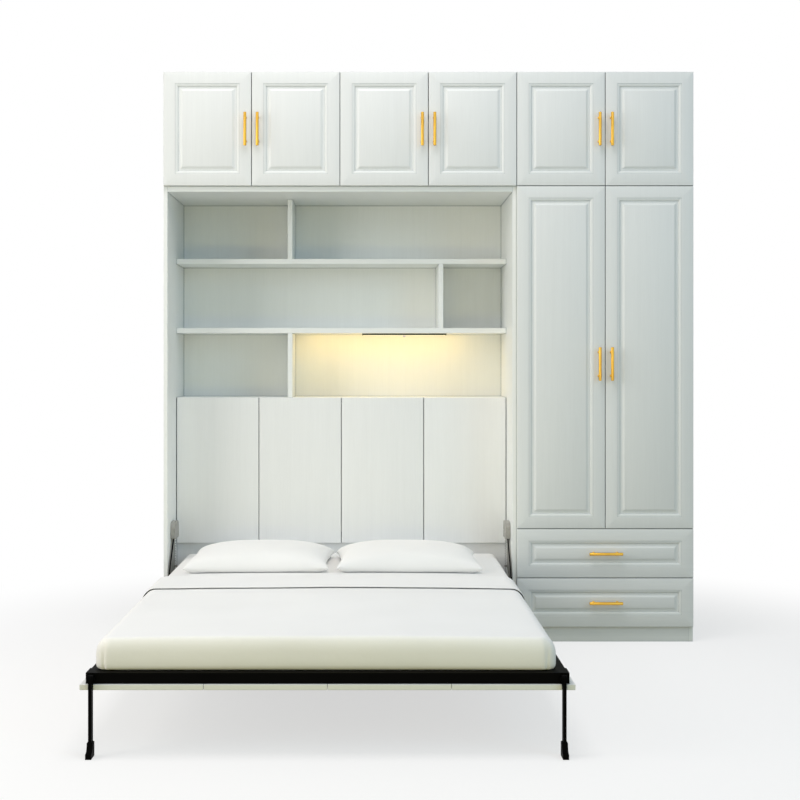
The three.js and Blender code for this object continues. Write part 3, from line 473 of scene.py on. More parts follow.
RIGHT, UP, FORWARD = Vector((1, 0, 0)), Vector((0, 0, 1)), Vector((0, -1, 0))


def placed(name, data):
    """A new object in the scene."""
    thing = bpy.data.objects.new(name, data)
    bpy.context.scene.collection.objects.link(thing)
    return thing


def dress(piece, body, material, node_name=None):
    """Gives a piece its material, the body that it rides on and the CAD node that it replaces."""
    piece.data.materials.clear()
    piece.data.materials.append(material)
    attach(piece, body)
    if node_name:
        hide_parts(node_name)


def mesh_of(name, points, faces):
    mesh = bpy.data.meshes.new(name)
    mesh.from_pydata([tuple(p) for p in points], [], faces)
    mesh.update()
    return mesh


def mesh_from(bm, name):
    mesh = bpy.data.meshes.new(name)
    bm.to_mesh(mesh)
    bm.free()
    return mesh


def smooth_with_creases(mesh, always=()):
    """Smooth shading, with an edge kept sharp where its faces turn by more than the sharp turn."""
    bm = bmesh.new()
    bm.from_mesh(mesh)
    bmesh.ops.recalc_face_normals(bm, faces=bm.faces)
    for face in bm.faces:
        face.smooth = True
    for edge in bm.edges:
        pair = tuple(sorted(v.index for v in edge.verts))
        wide = len(edge.link_faces) == 2 and edge.calc_face_angle() > SHARP_TURN
        edge.smooth = not (wide or pair in always)
    bm.to_mesh(mesh)
    bm.free()
    return mesh


def built(bm, name, body, material, node_name=None):
    """A piece of its own out of what bm holds."""
    piece = placed(name, smooth_with_creases(mesh_from(bm, name)))
    dress(piece, body, material, node_name)


def nested_panel(name, origin, size, loops):
    """A closed panel of rectangles, one inside the next, each an inset and a level over the back."""
    width, height = size
    points, faces, mitres = [], [], set()
    for inset, level in loops:
        right, top = width - inset, height - inset
        corners = ((inset, inset), (right, inset), (right, top), (inset, top))
        points += [origin + RIGHT * a + UP * b + FORWARD * level for a, b in corners]
    for k in range(len(loops) - 1):
        for j in range(4):
            a, b = 4 * k + j, 4 * k + (j + 1) % 4
            faces.append((a, b, b + 4, a + 4))
            mitres.add((a, a + 4))
    last = 4 * (len(loops) - 1)
    faces.append((last, last + 1, last + 2, last + 3))
    faces.append((3, 2, 1, 0))
    return smooth_with_creases(mesh_of(name, points, faces), always=mitres)


def edge_loops(thickness):
    """The back, the side and the rounded front edge of a board."""
    loops = [(BACK_EDGE, 0.0), (0.0, BACK_EDGE)]
    for i in range(EDGE_STEPS + 1):
        angle = math.pi / 2 * i / EDGE_STEPS
        inset = FRONT_EDGE * (1 - math.cos(angle))
        loops.append((inset, thickness - FRONT_EDGE * (1 - math.sin(angle))))
    return loops


def raised_loops(thickness):
    """A flat stile, a small step, a quarter-round moulding, a groove, a bevel and the raised field."""
    loops = edge_loops(thickness)
    top = thickness - MOULDING_STEP
    low = thickness - MOULDING_DEPTH
    loops.append((STILE - ARRIS / 2, thickness))
    loops.append((STILE, thickness - ARRIS / 2))
    for i in range(MOULDING_STEPS + 1):
        angle = math.pi / 2 * i / MOULDING_STEPS
        loops.append((STILE + MOULDING_WIDTH * math.sin(angle), top - (top - low) * (1 - math.cos(angle))))
    groove = STILE + MOULDING_WIDTH + GROOVE
    field = thickness - FIELD_DROP
    loops.append((groove - ARRIS, low))
    loops.append((groove + ARRIS, low + ARRIS / 2))
    loops.append((groove + BEVEL - ARRIS, field - ARRIS / 2))
    loops.append((groove + BEVEL + ARRIS, field))
    return loops


def add_lathe(bm, profile, base, direction, sides=ROUND_SIDES):
    """A turned form: the profile's points are a radius and a distance along the direction from the base."""
    axis = direction.normalized()
    turn = axis.to_track_quat("Z", "Y")
    rings = []
    for radius, along in profile:
        if radius <= 0:
            rings.append([bm.verts.new(base + axis * along)])
            continue
        ring = []
        for i in range(sides):
            angle = 2 * math.pi * i / sides
            spoke = turn @ Vector((radius * math.cos(angle), radius * math.sin(angle), 0))
            ring.append(bm.verts.new(base + axis * along + spoke))
        rings.append(ring)
    for low, high in zip(rings, rings[1:]):
        for i in range(sides):
            j = (i + 1) % sides
            corners = [low[i % len(low)], low[j % len(low)], high[j % len(high)], high[i % len(high)]]
            unique = list(dict.fromkeys(corners))
            if len(unique) > 2:
                bm.faces.new(unique)


def add_tube(bm, line, radius, sides=SPRING_SIDES):
    """A round wire along a line of points, closed at both ends."""
    rings = []
    count = len(line)
    side = None
    for i, point in enumerate(line):
        ahead = (line[min(i + 1, count - 1)] - line[max(i - 1, 0)]).normalized()
        if side is None:
            side = ahead.orthogonal().normalized()
        side = (side - ahead * side.dot(ahead)).normalized()
        other = ahead.cross(side)
        ring = []
        for k in range(sides):
            angle = 2 * math.pi * k / sides
            ring.append(bm.verts.new(point + (side * math.cos(angle) + other * math.sin(angle)) * radius))
        rings.append(ring)
    for low, high in zip(rings, rings[1:]):
        for k in range(sides):
            bm.faces.new((low[k], low[(k + 1) % sides], high[(k + 1) % sides], high[k]))
    bm.faces.new(list(reversed(rings[0])))
    bm.faces.new(rings[-1])


def add_box(bm, low, high):
    """A plain box between two corners."""
    verts = bmesh.ops.create_cube(bm, size=1.0)["verts"]
    for vert in verts:
        vert.co = Vector([high[k] if vert.co[k] > 0 else low[k] for k in range(3)])
    return verts


def add_block(bm, low, high, rounding):
    """A box between two corners, with rounded edges."""
    edges = dict.fromkeys(edge for vert in add_box(bm, low, high) for edge in vert.link_edges)
    bmesh.ops.bevel(bm, geom=list(edges), offset=rounding, segments=2, profile=0.5, affect="EDGES")


def centre_of(low, high):
    return (low + high) / 2


def settled(piece):
    """Turns the piece's modifiers into plain mesh."""
    graph = bpy.context.evaluated_depsgraph_get()
    mesh = bpy.data.meshes.new_from_object(piece.evaluated_get(graph))
    piece.modifiers.clear()
    piece.data = mesh
    return piece


def points_of(mesh):
    points = np.zeros(len(mesh.vertices) * 3, np.float32)
    mesh.vertices.foreach_get("co", points)
    return points.reshape(-1, 3)


def set_points(piece, points):
    piece.data.vertices.foreach_set("co", np.asarray(points, np.float32).ravel())
    piece.data.update()


# CAD pieces that keep their shape

def soften(node_name, material, edge):
    """Gives a CAD node its material and a fine rounded edge that catches the light."""
    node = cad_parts[node_name]
    node.data.materials.clear()
    node.data.materials.append(material)
    weld = node.modifiers.new("weld", "WELD")
    weld.merge_threshold = WELD
    flat = node.modifiers.new("flat", "DECIMATE")
    flat.decimate_type = "DISSOLVE"
    flat.angle_limit = FLAT_TURN
    bevel = node.modifiers.new("edge", "BEVEL")
    bevel.width = edge
    bevel.segments = 2
    bevel.limit_method = "ANGLE"
    bevel.angle_limit = ROUNDED_TURN
    node.data.shade_smooth()
    corners = node.modifiers.new("corners", "EDGE_SPLIT")
    corners.split_angle = SQUARE_TURN
    corners.use_edge_sharp = False
    creases = node.modifiers.new("creases", "WEIGHTED_NORMAL")
    creases.keep_sharp = True


LEVEL_BOARDS = (
    "bay_top_board", "shelf_upper", "shelf_middle", "cupboard_top", "cupboard_floor", "overhead_carcass",
)
UPRIGHT_BOARDS = (
    "bay_side_left", "bay_side_right", "wardrobe_carcass", "drawer_box_lower", "drawer_box_upper",
    "bay_back_panel",
)
for board in LEVEL_BOARDS:
    soften(board, board_level, BOARD_EDGE)
for board in UPRIGHT_BOARDS:
    soften(board, board_upright, BOARD_EDGE)
soften("wardrobe_plinth", film_level, BOARD_EDGE)
soften("headboard_base_panel", film_plain, BOARD_EDGE)
for side in ("left", "right"):
    soften(f"wall_plate_{side}", grey_paint, METAL_EDGE / 2)
    soften(f"spring_housing_{side}", grey_paint, METAL_EDGE)
    soften(f"pull_rod_{side}", iron, METAL_EDGE / 2)
    soften(f"leg_{side}", iron, METAL_EDGE)
soften("bed_frame", iron, METAL_EDGE / 2)
soften("hanging_rail", zinc, METAL_EDGE / 2)


# Fronts and handles

def front_panel(node_name, body, material, raised):
    """A door or drawer front in the place of its CAD node, facing forward."""
    low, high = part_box(node_name)
    thickness = high.y - low.y
    loops = raised_loops(thickness) if raised else edge_loops(thickness)
    origin = Vector((low.x, high.y, low.z))
    mesh = nested_panel(node_name, origin, (high.x - low.x, high.z - low.z), loops)
    dress(placed(f"{node_name}_front", mesh), body, material, node_name)


def bar_handle(node_name, body):
    """A round bar on two posts with collars, in the place of its CAD node."""
    low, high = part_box(node_name)
    centre = centre_of(low, high)
    level = high.x - low.x > high.z - low.z
    along = RIGHT if level else UP
    end = ((high.x - low.x) if level else (high.z - low.z)) / 2
    bar = Vector((centre.x, low.y + HANDLE_RADIUS, centre.z))
    rim = HANDLE_RADIUS - HANDLE_CHAMFER
    soft = HANDLE_CHAMFER / 3
    half = [
        (HANDLE_RADIUS, end - HANDLE_CHAMFER - soft),
        (HANDLE_RADIUS - soft / 2, end - HANDLE_CHAMFER + soft / 2),
        (rim, end - soft / 2), (rim - soft, end), (0, end),
    ]
    bm = bmesh.new()
    add_lathe(bm, [(radius, -place) for radius, place in reversed(half)] + half, bar, along)
    reach = high.y - bar.y
    collar = [
        (0, 0), (POST_RADIUS, 0), (POST_RADIUS, reach - COLLAR_HEIGHT - COLLAR_TAPER),
        (POST_COLLAR - soft, reach - COLLAR_HEIGHT), (POST_COLLAR, reach - COLLAR_HEIGHT + soft),
        (POST_COLLAR, reach), (0, reach),
    ]
    for way in (-1, 1):
        add_lathe(bm, collar, bar + along * (way * POST_SPACING / 2), -FORWARD)
    built(bm, f"{node_name}_bar", body, brass, node_name)


for i in range(1, 7):
    front_panel(f"overhead_door_{i}", f"overhead_leaf_{i}", film_upright, raised=True)
    bar_handle(f"overhead_handle_{i}", f"overhead_leaf_{i}")
for side in ("left", "right"):
    front_panel(f"wardrobe_door_{side}", f"wardrobe_leaf_{side}", film_upright, raised=True)
    bar_handle(f"wardrobe_handle_{side}", f"wardrobe_leaf_{side}")
for level in ("lower", "upper"):
    front_panel(f"drawer_front_{level}", f"drawer_{level}", film_level, raised=True)
    bar_handle(f"drawer_handle_{level}", f"drawer_{level}")
for i in range(1, 5):
    front_panel(f"cupboard_door_{i}", "cabinet", film_plain, raised=False)
    soften(f"face_panel_{i}", film_deep, BOARD_EDGE)


# Lift springs

def lift_spring(side):
    """A close coil between the wall plate's lug and the housing, as wound wire."""
    name = f"lift_spring_{side}"
    low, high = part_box(name)
    centre = centre_of(low, high)
    height = high.z - low.z
    line = []
    steps = SPRING_TURNS * SPRING_STEPS
    for i in range(steps + 1):
        along = height * i / steps
        coil = min(max((along - SPRING_WIRE) / (height - 2 * SPRING_WIRE), 0), 1)
        turn = coil * SPRING_TURNS
        ease = min(turn, SPRING_TURNS - turn, 1)
        grow = ease * ease * (3 - 2 * ease)
        angle = 2 * math.pi * turn
        spoke = Vector((math.cos(angle), math.sin(angle), 0)) * (SPRING_RADIUS * grow)
        line.append(Vector((centre.x, centre.y, low.z + along)) + spoke)
    bm = bmesh.new()
    add_tube(bm, line, SPRING_WIRE / 2)
    built(bm, f"{name}_coil", "cabinet", zinc, name)


for side in ("left", "right"):
    lift_spring(side)


# Light bar

def light_bar():
    """A slim lamp under the middle shelf: a metal housing, a lit cover below it and a domed sensor."""
    low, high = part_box("light_bar")
    middle = centre_of(low, high)
    under = low.z + LAMP_SENSOR_RADIUS
    split = under + LAMP_COVER_HEIGHT
    bm = bmesh.new()
    add_block(bm, Vector((low.x, low.y, split)), high, LAMP_EDGE)
    built(bm, "light_bar_housing", "cabinet", lamp_housing, "light_bar")
    bm = bmesh.new()
    inset = Vector((LAMP_END_CAP, LAMP_LIP, 0))
    cover_low = Vector((low.x, low.y, under)) + inset
    cover_high = Vector((high.x, high.y, split + LAMP_EDGE)) - inset
    add_block(bm, cover_low, cover_high, LAMP_EDGE)
    built(bm, "light_bar_cover", "cabinet", lamp_cover)
    bm = bmesh.new()
    profile = [(0, -LAMP_COVER_HEIGHT), (LAMP_SENSOR_RADIUS, -LAMP_COVER_HEIGHT)]
    for i in range(DOME_STEPS):
        angle = math.pi / 2 * i / DOME_STEPS
        profile.append((LAMP_SENSOR_RADIUS * math.cos(angle), LAMP_SENSOR_RADIUS * math.sin(angle)))
    profile.append((0, LAMP_SENSOR_RADIUS))
    add_lathe(bm, profile, Vector((middle.x, middle.y, under)), -UP)
    built(bm, "light_bar_sensor", "cabinet", sensor_lens)


light_bar()


# Small hardware

def add_screw(bm, place, out):
    """A pan-head screw with a recess, drawn from the surface outwards."""
    height = SCREW_RADIUS * SCREW_HEIGHT_SHARE
    profile = [(SCREW_RADIUS * across, height * along) for across, along in SCREW_PROFILE_SHARES]
    add_lathe(bm, profile, place, out, SCREW_SIDES)


def add_hex_head(bm, place, out):
    """A washer and a hexagon head with a turned chamfer."""
    washer = [(0, 0), (WASHER_RADIUS, 0), (WASHER_RADIUS, WASHER_HEIGHT), (0, WASHER_HEIGHT)]
    add_lathe(bm, washer, place, out)
    chamfer = HEX_RADIUS - HEX_CHAMFER
    top = WASHER_HEIGHT + HEX_HEIGHT
    head = [
        (0, WASHER_HEIGHT), (HEX_RADIUS, WASHER_HEIGHT), (HEX_RADIUS, top - HEX_CHAMFER / 2),
        (chamfer, top), (0, top),
    ]
    add_lathe(bm, head, place, out, HEX_SIDES)


def leg_bolts():
    """The bolt head and nut of each leg's pin, on the outside of its two ears."""
    bm = bmesh.new()
    for side in ("left", "right"):
        low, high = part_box(f"leg_{side}")
        middle = centre_of(low, high).x
        place = Vector((0, high.y - LEG_DEPTH / 2, high.z - LEG_DEPTH / 2))
        for flank in (-1, 1):
            place.x = middle + flank * LEG_EARS_HALF
            add_hex_head(bm, place, RIGHT * flank)
    built(bm, "leg_bolts", "bed", iron)


def rail_flanges():
    """The two cups that hold the ends of the hanging rail."""
    low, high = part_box("hanging_rail")
    middle = centre_of(low, high)
    bm = bmesh.new()
    radius = (high.z - low.z) / 2
    outer = radius + FLANGE_WALL
    profile = [
        (radius, 0), (radius + FLANGE_LIP, 0), (radius + FLANGE_LIP, FLANGE_HEIGHT / 3),
        (outer, FLANGE_HEIGHT / 2), (outer, FLANGE_HEIGHT), (radius, FLANGE_HEIGHT), (radius, 0),
    ]
    for x, inward in ((low.x, 1), (high.x, -1)):
        add_lathe(bm, profile, Vector((x, middle.y, middle.z)), RIGHT * inward)
    built(bm, "rail_flanges", "cabinet", zinc)


def hinge_places(door, side, count):
    """The hinges of a door, in the corner of its edge and its back; side is -1 where they are on its left."""
    low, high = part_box(door)
    edge = low.x if side < 0 else high.x
    span = high.z - low.z - 2 * CUP_FROM_END
    return [Vector((edge, high.y, low.z + CUP_FROM_END + span * k / (count - 1))) for k in range(count)]


def hinge_cups(door, leaf, side, count):
    """The pressed cups of the concealed hinges, flush in the back of a door."""
    bm = bmesh.new()
    profile = [
        (0, 0), (CUP_RADIUS, 0), (CUP_RADIUS, CUP_PROUD), (CUP_RADIUS - CUP_RIM, CUP_PROUD),
        (CUP_RADIUS - 2 * CUP_RIM, CUP_PROUD / 2), (0, CUP_PROUD / 2),
    ]
    for place in hinge_places(door, side, count):
        place.x -= side * CUP_INSET
        add_lathe(bm, profile, place, -FORWARD)
    built(bm, f"{door}_hinge_cups", leaf, zinc)


def hinge_plates():
    """The hinges' mounting plates, screwed to the carcass beside each row of cups."""
    bm = bmesh.new()
    for door, _, side, count, wall in HINGED:
        for near in hinge_places(door, side, count):
            near.x -= side * wall
            near.y += PLATE_SETBACK
            far = near + Vector((-side * PLATE_HEIGHT, PLATE_LENGTH, 0))
            block_low = Vector((min(near.x, far.x), near.y, near.z - PLATE_WIDTH / 2))
            block_high = Vector((max(near.x, far.x), far.y, near.z + PLATE_WIDTH / 2))
            add_block(bm, block_low, block_high, PLATE_EDGE)
            for share in PLATE_SCREW_SHARES:
                add_screw(bm, Vector((far.x, near.y + PLATE_LENGTH * share, near.z)), RIGHT * -side)
    built(bm, "hinge_plates", "cabinet", zinc)


def housing_screws():
    """Two screws through the cap of each lift mechanism, into the board behind it."""
    bm = bmesh.new()
    for side, inward in (("left", 1), ("right", -1)):
        low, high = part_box(f"spring_housing_{side}")
        face = high.x if inward > 0 else low.x
        for share in HOUSING_SCREW_SHARES:
            y = low.y + (high.y - low.y) * share
            z = low.z + (high.z - low.z) * HOUSING_SCREW_HEIGHT_SHARE
            add_screw(bm, Vector((face, y, z)), RIGHT * inward)
    built(bm, "housing_screws", "cabinet", zinc)


# Each hinged door's node, body, hinge side, number of hinges, and how far the wall beside it reaches in
OVERHEAD_WALLS = (OUTER_WALL, *[MIDDLE_WALL] * 4, OUTER_WALL)
HINGED = [
    *(
        (f"overhead_door_{i}", f"overhead_leaf_{i}", -1 if i % 2 else 1, OVERHEAD_HINGES, wall)
        for i, wall in enumerate(OVERHEAD_WALLS, 1)
    ),
    ("wardrobe_door_left", "wardrobe_leaf_left", -1, WARDROBE_HINGES, OUTER_WALL),
    ("wardrobe_door_right", "wardrobe_leaf_right", 1, WARDROBE_HINGES, OUTER_WALL),
]
leg_bolts()
rail_flanges()
hinge_plates()
housing_screws()
for door, leaf, side, count, _ in HINGED:
    hinge_cups(door, leaf, side, count)


# Soft goods

def blown_up(piece, pressure, stiffness, bending, frames, cap):
    """Where a closed cloth's points end after some frames of pressure, none moved further than the cap."""
    start = points_of(piece.data)
    cloth = piece.modifiers.new("cloth", "CLOTH")
    settings = cloth.settings
    settings.quality = 6
    settings.mass = 0.25
    settings.tension_stiffness = stiffness
    settings.compression_stiffness = stiffness
    settings.shear_stiffness = stiffness / 3
    settings.bending_stiffness = bending
    settings.use_pressure = True
    settings.uniform_pressure_force = pressure
    settings.effector_weights.gravity = 0.0
    cloth.collision_settings.use_collision = False
    cloth.point_cache.frame_start = 1
    cloth.point_cache.frame_end = frames
    scene = bpy.context.scene
    for number in range(1, frames + 1):
        scene.frame_set(number)
    graph = bpy.context.evaluated_depsgraph_get()
    step = points_of(piece.evaluated_get(graph).to_mesh()) - start
    piece.evaluated_get(graph).to_mesh_clear()
    piece.modifiers.remove(cloth)
    scene.frame_set(1)
    length = np.linalg.norm(step, axis=1, keepdims=True)
    return start + step * np.minimum(1.0, cap / np.maximum(length, WELD))


def flat_uv(mesh, flat_points):
    """Gives each vertex the place that it had on the flat cloth, in metres."""
    layer = mesh.uv_layers.new(name="cloth")
    for loop in mesh.loops:
        layer.data[loop.index].uv = flat_points[loop.vertex_index]


def grid_faces(columns, rows, first=0):
    starts = [first + j * columns + i for j in range(rows - 1) for i in range(columns - 1)]
    return [(a, a + 1, a + 1 + columns, a + columns) for a in starts]


def subdivided(piece):
    fine = piece.modifiers.new("fine", "SUBSURF")
    fine.levels = 1
    return settled(piece)


def pillow_point(s, t, layer, size, inner):
    """A point of a laid pillow: s and t run from -1 to 1 across and along it, layer is -1 under and 1 over.

    inner is 1 where the pillow's right side faces the other pillow, and -1 where its left side does."""
    width, length, height = size
    x = s * (width / 2 - PILLOW_DRAW[0] * (1 - t * t))
    y = t * (length / 2 - PILLOW_DRAW[1] * (1 - s * s))
    x -= inner * PILLOW_INNER_DRAW * max(0.0, inner * s) * (1 - t) / 2
    full = (1 - abs(s) ** PILLOW_SQUARENESS) * (1 - abs(t) ** PILLOW_SQUARENESS)
    full = math.sqrt(max(full, 0.0))
    seam = PILLOW_SEAM_SHARE * height
    if layer > 0:
        return x, y, seam + (height - seam) * full
    return x, y, seam * max(0.0, 1 - PILLOW_UNDER_SLOPE * full)


def laid_pillow(points, height):
    """Fits a filled pillow to its place: its underside flat on what it rests on, its crown at its height."""
    laid = points.astype(float)
    seam = PILLOW_SEAM_SHARE * height
    over = laid[:, 2] > seam
    laid[over, 2] = seam + (laid[over, 2] - seam) * (height - seam) / (laid[:, 2].max() - seam)
    laid[:, 2] = np.maximum(laid[:, 2], 0.0)
    return laid


def pillow(side):
    """A filled pillow: two layers joined at a seam round the edge, blown up and laid on the mattress."""
    name = f"pillow_{side}"
    low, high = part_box(name)
    centre = centre_of(low, high)
    size = (high.x - low.x + 2 * PILLOW_EARS[0], high.y - low.y + 2 * PILLOW_EARS[1], high.z - low.z)
    inner = 1 if side == "left" else -1
    columns, rows = (round(length / PILLOW_STEP) + 1 for length in size[:2])
    across, along = ([2 * i / (count - 1) - 1 for i in range(count)] for count in (columns, rows))
    places = [(s, t) for t in along for s in across]
    points = [pillow_point(s, t, layer, size, inner) for layer in (-1, 1) for s, t in places]
    under = [tuple(reversed(face)) for face in grid_faces(columns, rows)]
    mesh = mesh_of(f"{name}_case", points, under + grid_faces(columns, rows, len(places)))
    flat_uv(mesh, [(s * size[0] / 2, t * size[1] / 2) for s, t in places] * 2)
    bm = bmesh.new()
    bm.from_mesh(mesh)
    bmesh.ops.remove_doubles(bm, verts=bm.verts, dist=WELD)
    bm.to_mesh(mesh)
    bm.free()
    piece = placed(f"{name}_case", mesh)
    laid = laid_pillow(blown_up(piece, **PILLOW_CLOTH), size[2])
    laid += np.array((centre.x, centre.y, low.z))
    laid[:, 2] -= MATTRESS_CROWN * across_bed(laid[:, 0]) ** 2
    set_points(piece, laid)
    soft_good(subdivided(piece), cotton, name)


def across_bed(x):
    """How far from the bed's middle line a place is: -1 at the mattress's left side, 1 at its right."""
    return (x - (mattress_low.x + mattress_high.x) / 2) / ((mattress_high.x - mattress_low.x) / 2)


def soft_good(piece, material, node_name):
    """Dresses a finished soft piece, which rides on the bed in the place of its CAD node."""
    piece.data.shade_smooth()
    dress(piece, "bed", material, node_name)


def cover_box():
    """The space that the bed cover takes, a little to the left of the bed's middle."""
    low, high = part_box("duvet")
    aside = Vector((COVER_LEFT, 0, 0))
    spread = Vector((COVER_SPREAD, 0, 0))
    return low - aside - spread, high - aside + spread


def cover_top(high):
    """The height of the cover's lower layer along the bed's middle line."""
    return high.z - FOLD_LIFT - COVER_CLOTH * 3 / 2


def cover_heights(points):
    """How high the cover's cloth lies over places on the mattress, with its round shoulders."""
    low, high = cover_box()
    half = (high.x - low.x) / 2
    beyond = np.abs(points[:, 0] - (low.x + high.x) / 2) - (half - SIDE_SHOULDER[0])
    before = low.y + FOOT_SHOULDER[0] - points[:, 1]
    fall = np.zeros(len(points))
    for distance, (out, down) in ((beyond, SIDE_SHOULDER), (before, FOOT_SHOULDER)):
        share = np.clip(distance / out, 0.0, 1.0)
        fall = np.maximum(fall, down * (1 - np.sqrt(1 - share ** 2)))
    heights = cover_top(high) - MATTRESS_CROWN * across_bed(points[:, 0]) ** 2 - fall
    heights[points[:, 1] > high.y] = high.z
    return heights


def mattress():
    """A foam mattress in a knitted cover, with a low crown, its edges pressed in by the tucked bed cover."""
    low, high = mattress_low, mattress_high
    inset = Vector((MATTRESS_INSET, MATTRESS_INSET, MATTRESS_TOP_INSET))
    bm = bmesh.new()
    add_box(bm, low + inset, high - inset)
    piece = placed("mattress_core", mesh_from(bm, "mattress_core"))
    edge = piece.modifiers.new("edge", "BEVEL")
    edge.width = MATTRESS_EDGE
    edge.segments = 5
    remesh = piece.modifiers.new("remesh", "REMESH")
    remesh.mode = "VOXEL"
    remesh.voxel_size = MATTRESS_VOXEL
    settled(piece)
    points = np.clip(blown_up(piece, **MATTRESS_CLOTH), np.array(low), np.array(high))
    crowned = high.z - MATTRESS_CROWN * across_bed(points[:, 0]) ** 2
    room = cover_heights(points) - COVER_CLOTH / 2 - COVER_ROOM
    points[:, 2] = np.minimum(points[:, 2], np.minimum(crowned, room))
    set_points(piece, points)
    smooth = piece.modifiers.new("smooth", "SMOOTH")
    smooth.iterations = 3
    settled(piece)
    flat_uv(piece.data, [(v.co.x + v.co.z, v.co.y + v.co.z) for v in piece.data.vertices])
    soft_good(piece, ticking, "mattress")


for side in ("left", "right"):
    pillow(side)
mattress()


def shoulder_arc(out, down):
    """The length of cloth that goes round a shoulder."""
    return math.pi / 2 * math.sqrt((out ** 2 + down ** 2) / 2)


def cover_profile(reach, bend):
    """How far out and down the cover lies, at a distance along the cloth past the flat top.

    bend is 0 at the bed's sides and 1 at its foot."""
    out, down = (side + (foot - side) * bend for side, foot in zip(SIDE_SHOULDER, FOOT_SHOULDER))
    flat = CORNER_REACH - out
    if reach <= flat:
        return reach, 0.0
    arc = shoulder_arc(out, down)
    if reach <= flat + arc:
        angle = (reach - flat) / arc * math.pi / 2
        return flat + out * math.sin(angle), down * (1 - math.cos(angle))
    return CORNER_REACH, down + reach - flat - arc


def cover_point(s, t, box):
    """Where a point of the flat cloth lies: s across from the middle line, t back from the flat part."""
    low, high = box
    middle = (low.x + high.x) / 2
    inner_half = (high.x - low.x) / 2 - CORNER_REACH
    inner_foot = low.y + CORNER_REACH
    side = max(abs(s) - inner_half, 0.0)
    foot = max(-t, 0.0)
    reach = max(side, foot)
    if reach <= 0:
        bend, turn = 0.0, 0.0
    elif side >= foot:
        turn = math.pi / 4 * foot / side
        bend = foot / side / 2
    else:
        turn = math.pi / 2 - math.pi / 4 * side / foot
        bend = 1 - side / foot / 2
    out, down = cover_profile(reach, bend)
    hanging = min(down / SIDE_SHOULDER[1], 1.0)
    drop = cover_top(high) - low.z
    sway = SIDE_WAVE * noise.noise(Vector((s * SIDE_WAVES, t * SIDE_WAVES, 0)))
    belly = FOOT_BELLY * bend * math.sin(math.pi * min(down / drop, 1.0))
    tuck = TUCK_DEPTH * math.exp(-((turn - TUCK_TURN) / TUCK_WIDTH) ** 2)
    out += (sway - tuck) * hanging + belly
    sign = 1 if s >= 0 else -1
    x = middle + (s if side <= 0 else sign * (inner_half + out * math.cos(turn)))
    y = inner_foot + (t if foot <= 0 else -out * math.sin(turn))
    z = cover_top(high) - MATTRESS_CROWN * across_bed(x) ** 2 - down
    rest = low.z + COVER_CLOTH / 2
    if z < rest + HEM_CURL:
        curl = min((rest + HEM_CURL - z) / HEM_CURL, 1.0)
        pull = HEM_CURL * (1 - math.sqrt(max(0.0, 1 - curl * curl))) * HEM_PULL_SHARE
        x -= sign * pull * math.cos(turn) if side > 0 else 0
        y += pull * math.sin(turn) if foot > 0 else 0
        z = max(z, rest)
    place = Vector((x * SWELLS[0], y * SWELLS[1], z * SWELLS[2]))
    swell = COVER_WAVE * noise.fractal(place, SWELL_FALLOFF, SWELL_FINER, SWELL_OCTAVES)
    return Vector((x, y, z + swell * (1 - hanging)))


def bed_cover():
    """One cloth over the mattress, down to the rails, its head end turned back over itself."""
    low, high = box = cover_box()
    inner_half = (high.x - low.x) / 2 - CORNER_REACH
    drop = cover_top(high) - low.z
    reach = max(
        CORNER_REACH - shoulder[0] + shoulder_arc(*shoulder) + drop - shoulder[1]
        for shoulder in (SIDE_SHOULDER, FOOT_SHOULDER)
    )
    half_width = inner_half + reach
    head = high.y - (low.y + CORNER_REACH) - FOLD_TURN
    columns = 2 * round(half_width / COVER_STEP) + 1
    rows = round((head + reach) / COVER_STEP) + 1
    step = (head + reach) / (rows - 1)
    across = [-half_width + 2 * half_width * i / (columns - 1) for i in range(columns)]
    under = np.array([tuple(cover_point(s, j * step - reach, box)) for j in range(rows) for s in across])
    layers = folded_back(under.reshape(rows, columns, 3), low)
    count = len(layers)
    mesh = mesh_of("bed_cover", layers.reshape(-1, 3), grid_faces(columns, count))
    flat_uv(mesh, [(s, j * step - reach) for j in range(count) for s in across])
    piece = placed("bed_cover", mesh)
    thick = piece.modifiers.new("cloth", "SOLIDIFY")
    thick.thickness = COVER_CLOTH
    thick.offset = 0.0
    settled(piece)
    soft_good(subdivided(piece), cotton, "duvet")


def folded_back(under, low):
    """Adds the turned-back end to the grid of the cover: a round turn, then a layer over the first."""
    columns = under.shape[1]
    step = np.linalg.norm(under[-1, columns // 2] - under[-2, columns // 2])
    along_rows = np.gradient(under, axis=0)
    along_columns = np.gradient(under, axis=1)
    normals = np.cross(along_columns, along_rows)
    normals /= np.maximum(np.linalg.norm(normals, axis=2, keepdims=True), WELD)
    count = int(FOLD_LENGTH / step)
    turned = []
    for k in range(1, FOLD_STEPS):
        angle = math.pi * k / FOLD_STEPS
        forward = np.array([0.0, math.sin(angle) * FOLD_TURN, 0.0])
        turned.append(under[-1] + forward + normals[-1] * (FOLD_LIFT * (1 - math.cos(angle)) / 2))
    for k in range(count + 1):
        places = [Vector((i * FOLD_WAVES[0], k * FOLD_WAVES[1], FOLD_SEED)) for i in range(columns)]
        wave = np.array([noise.noise(place) for place in places])
        turned.append(under[-1 - k] + normals[-1 - k] * (FOLD_LIFT + FOLD_WAVE * wave)[:, None])
    layers = np.concatenate([under, np.array(turned)], axis=0)
    layers[:, :, 2] = np.maximum(layers[:, :, 2], low.z + COVER_CLOTH / 2)
    return layers


bed_cover()


# Camera, floor and light

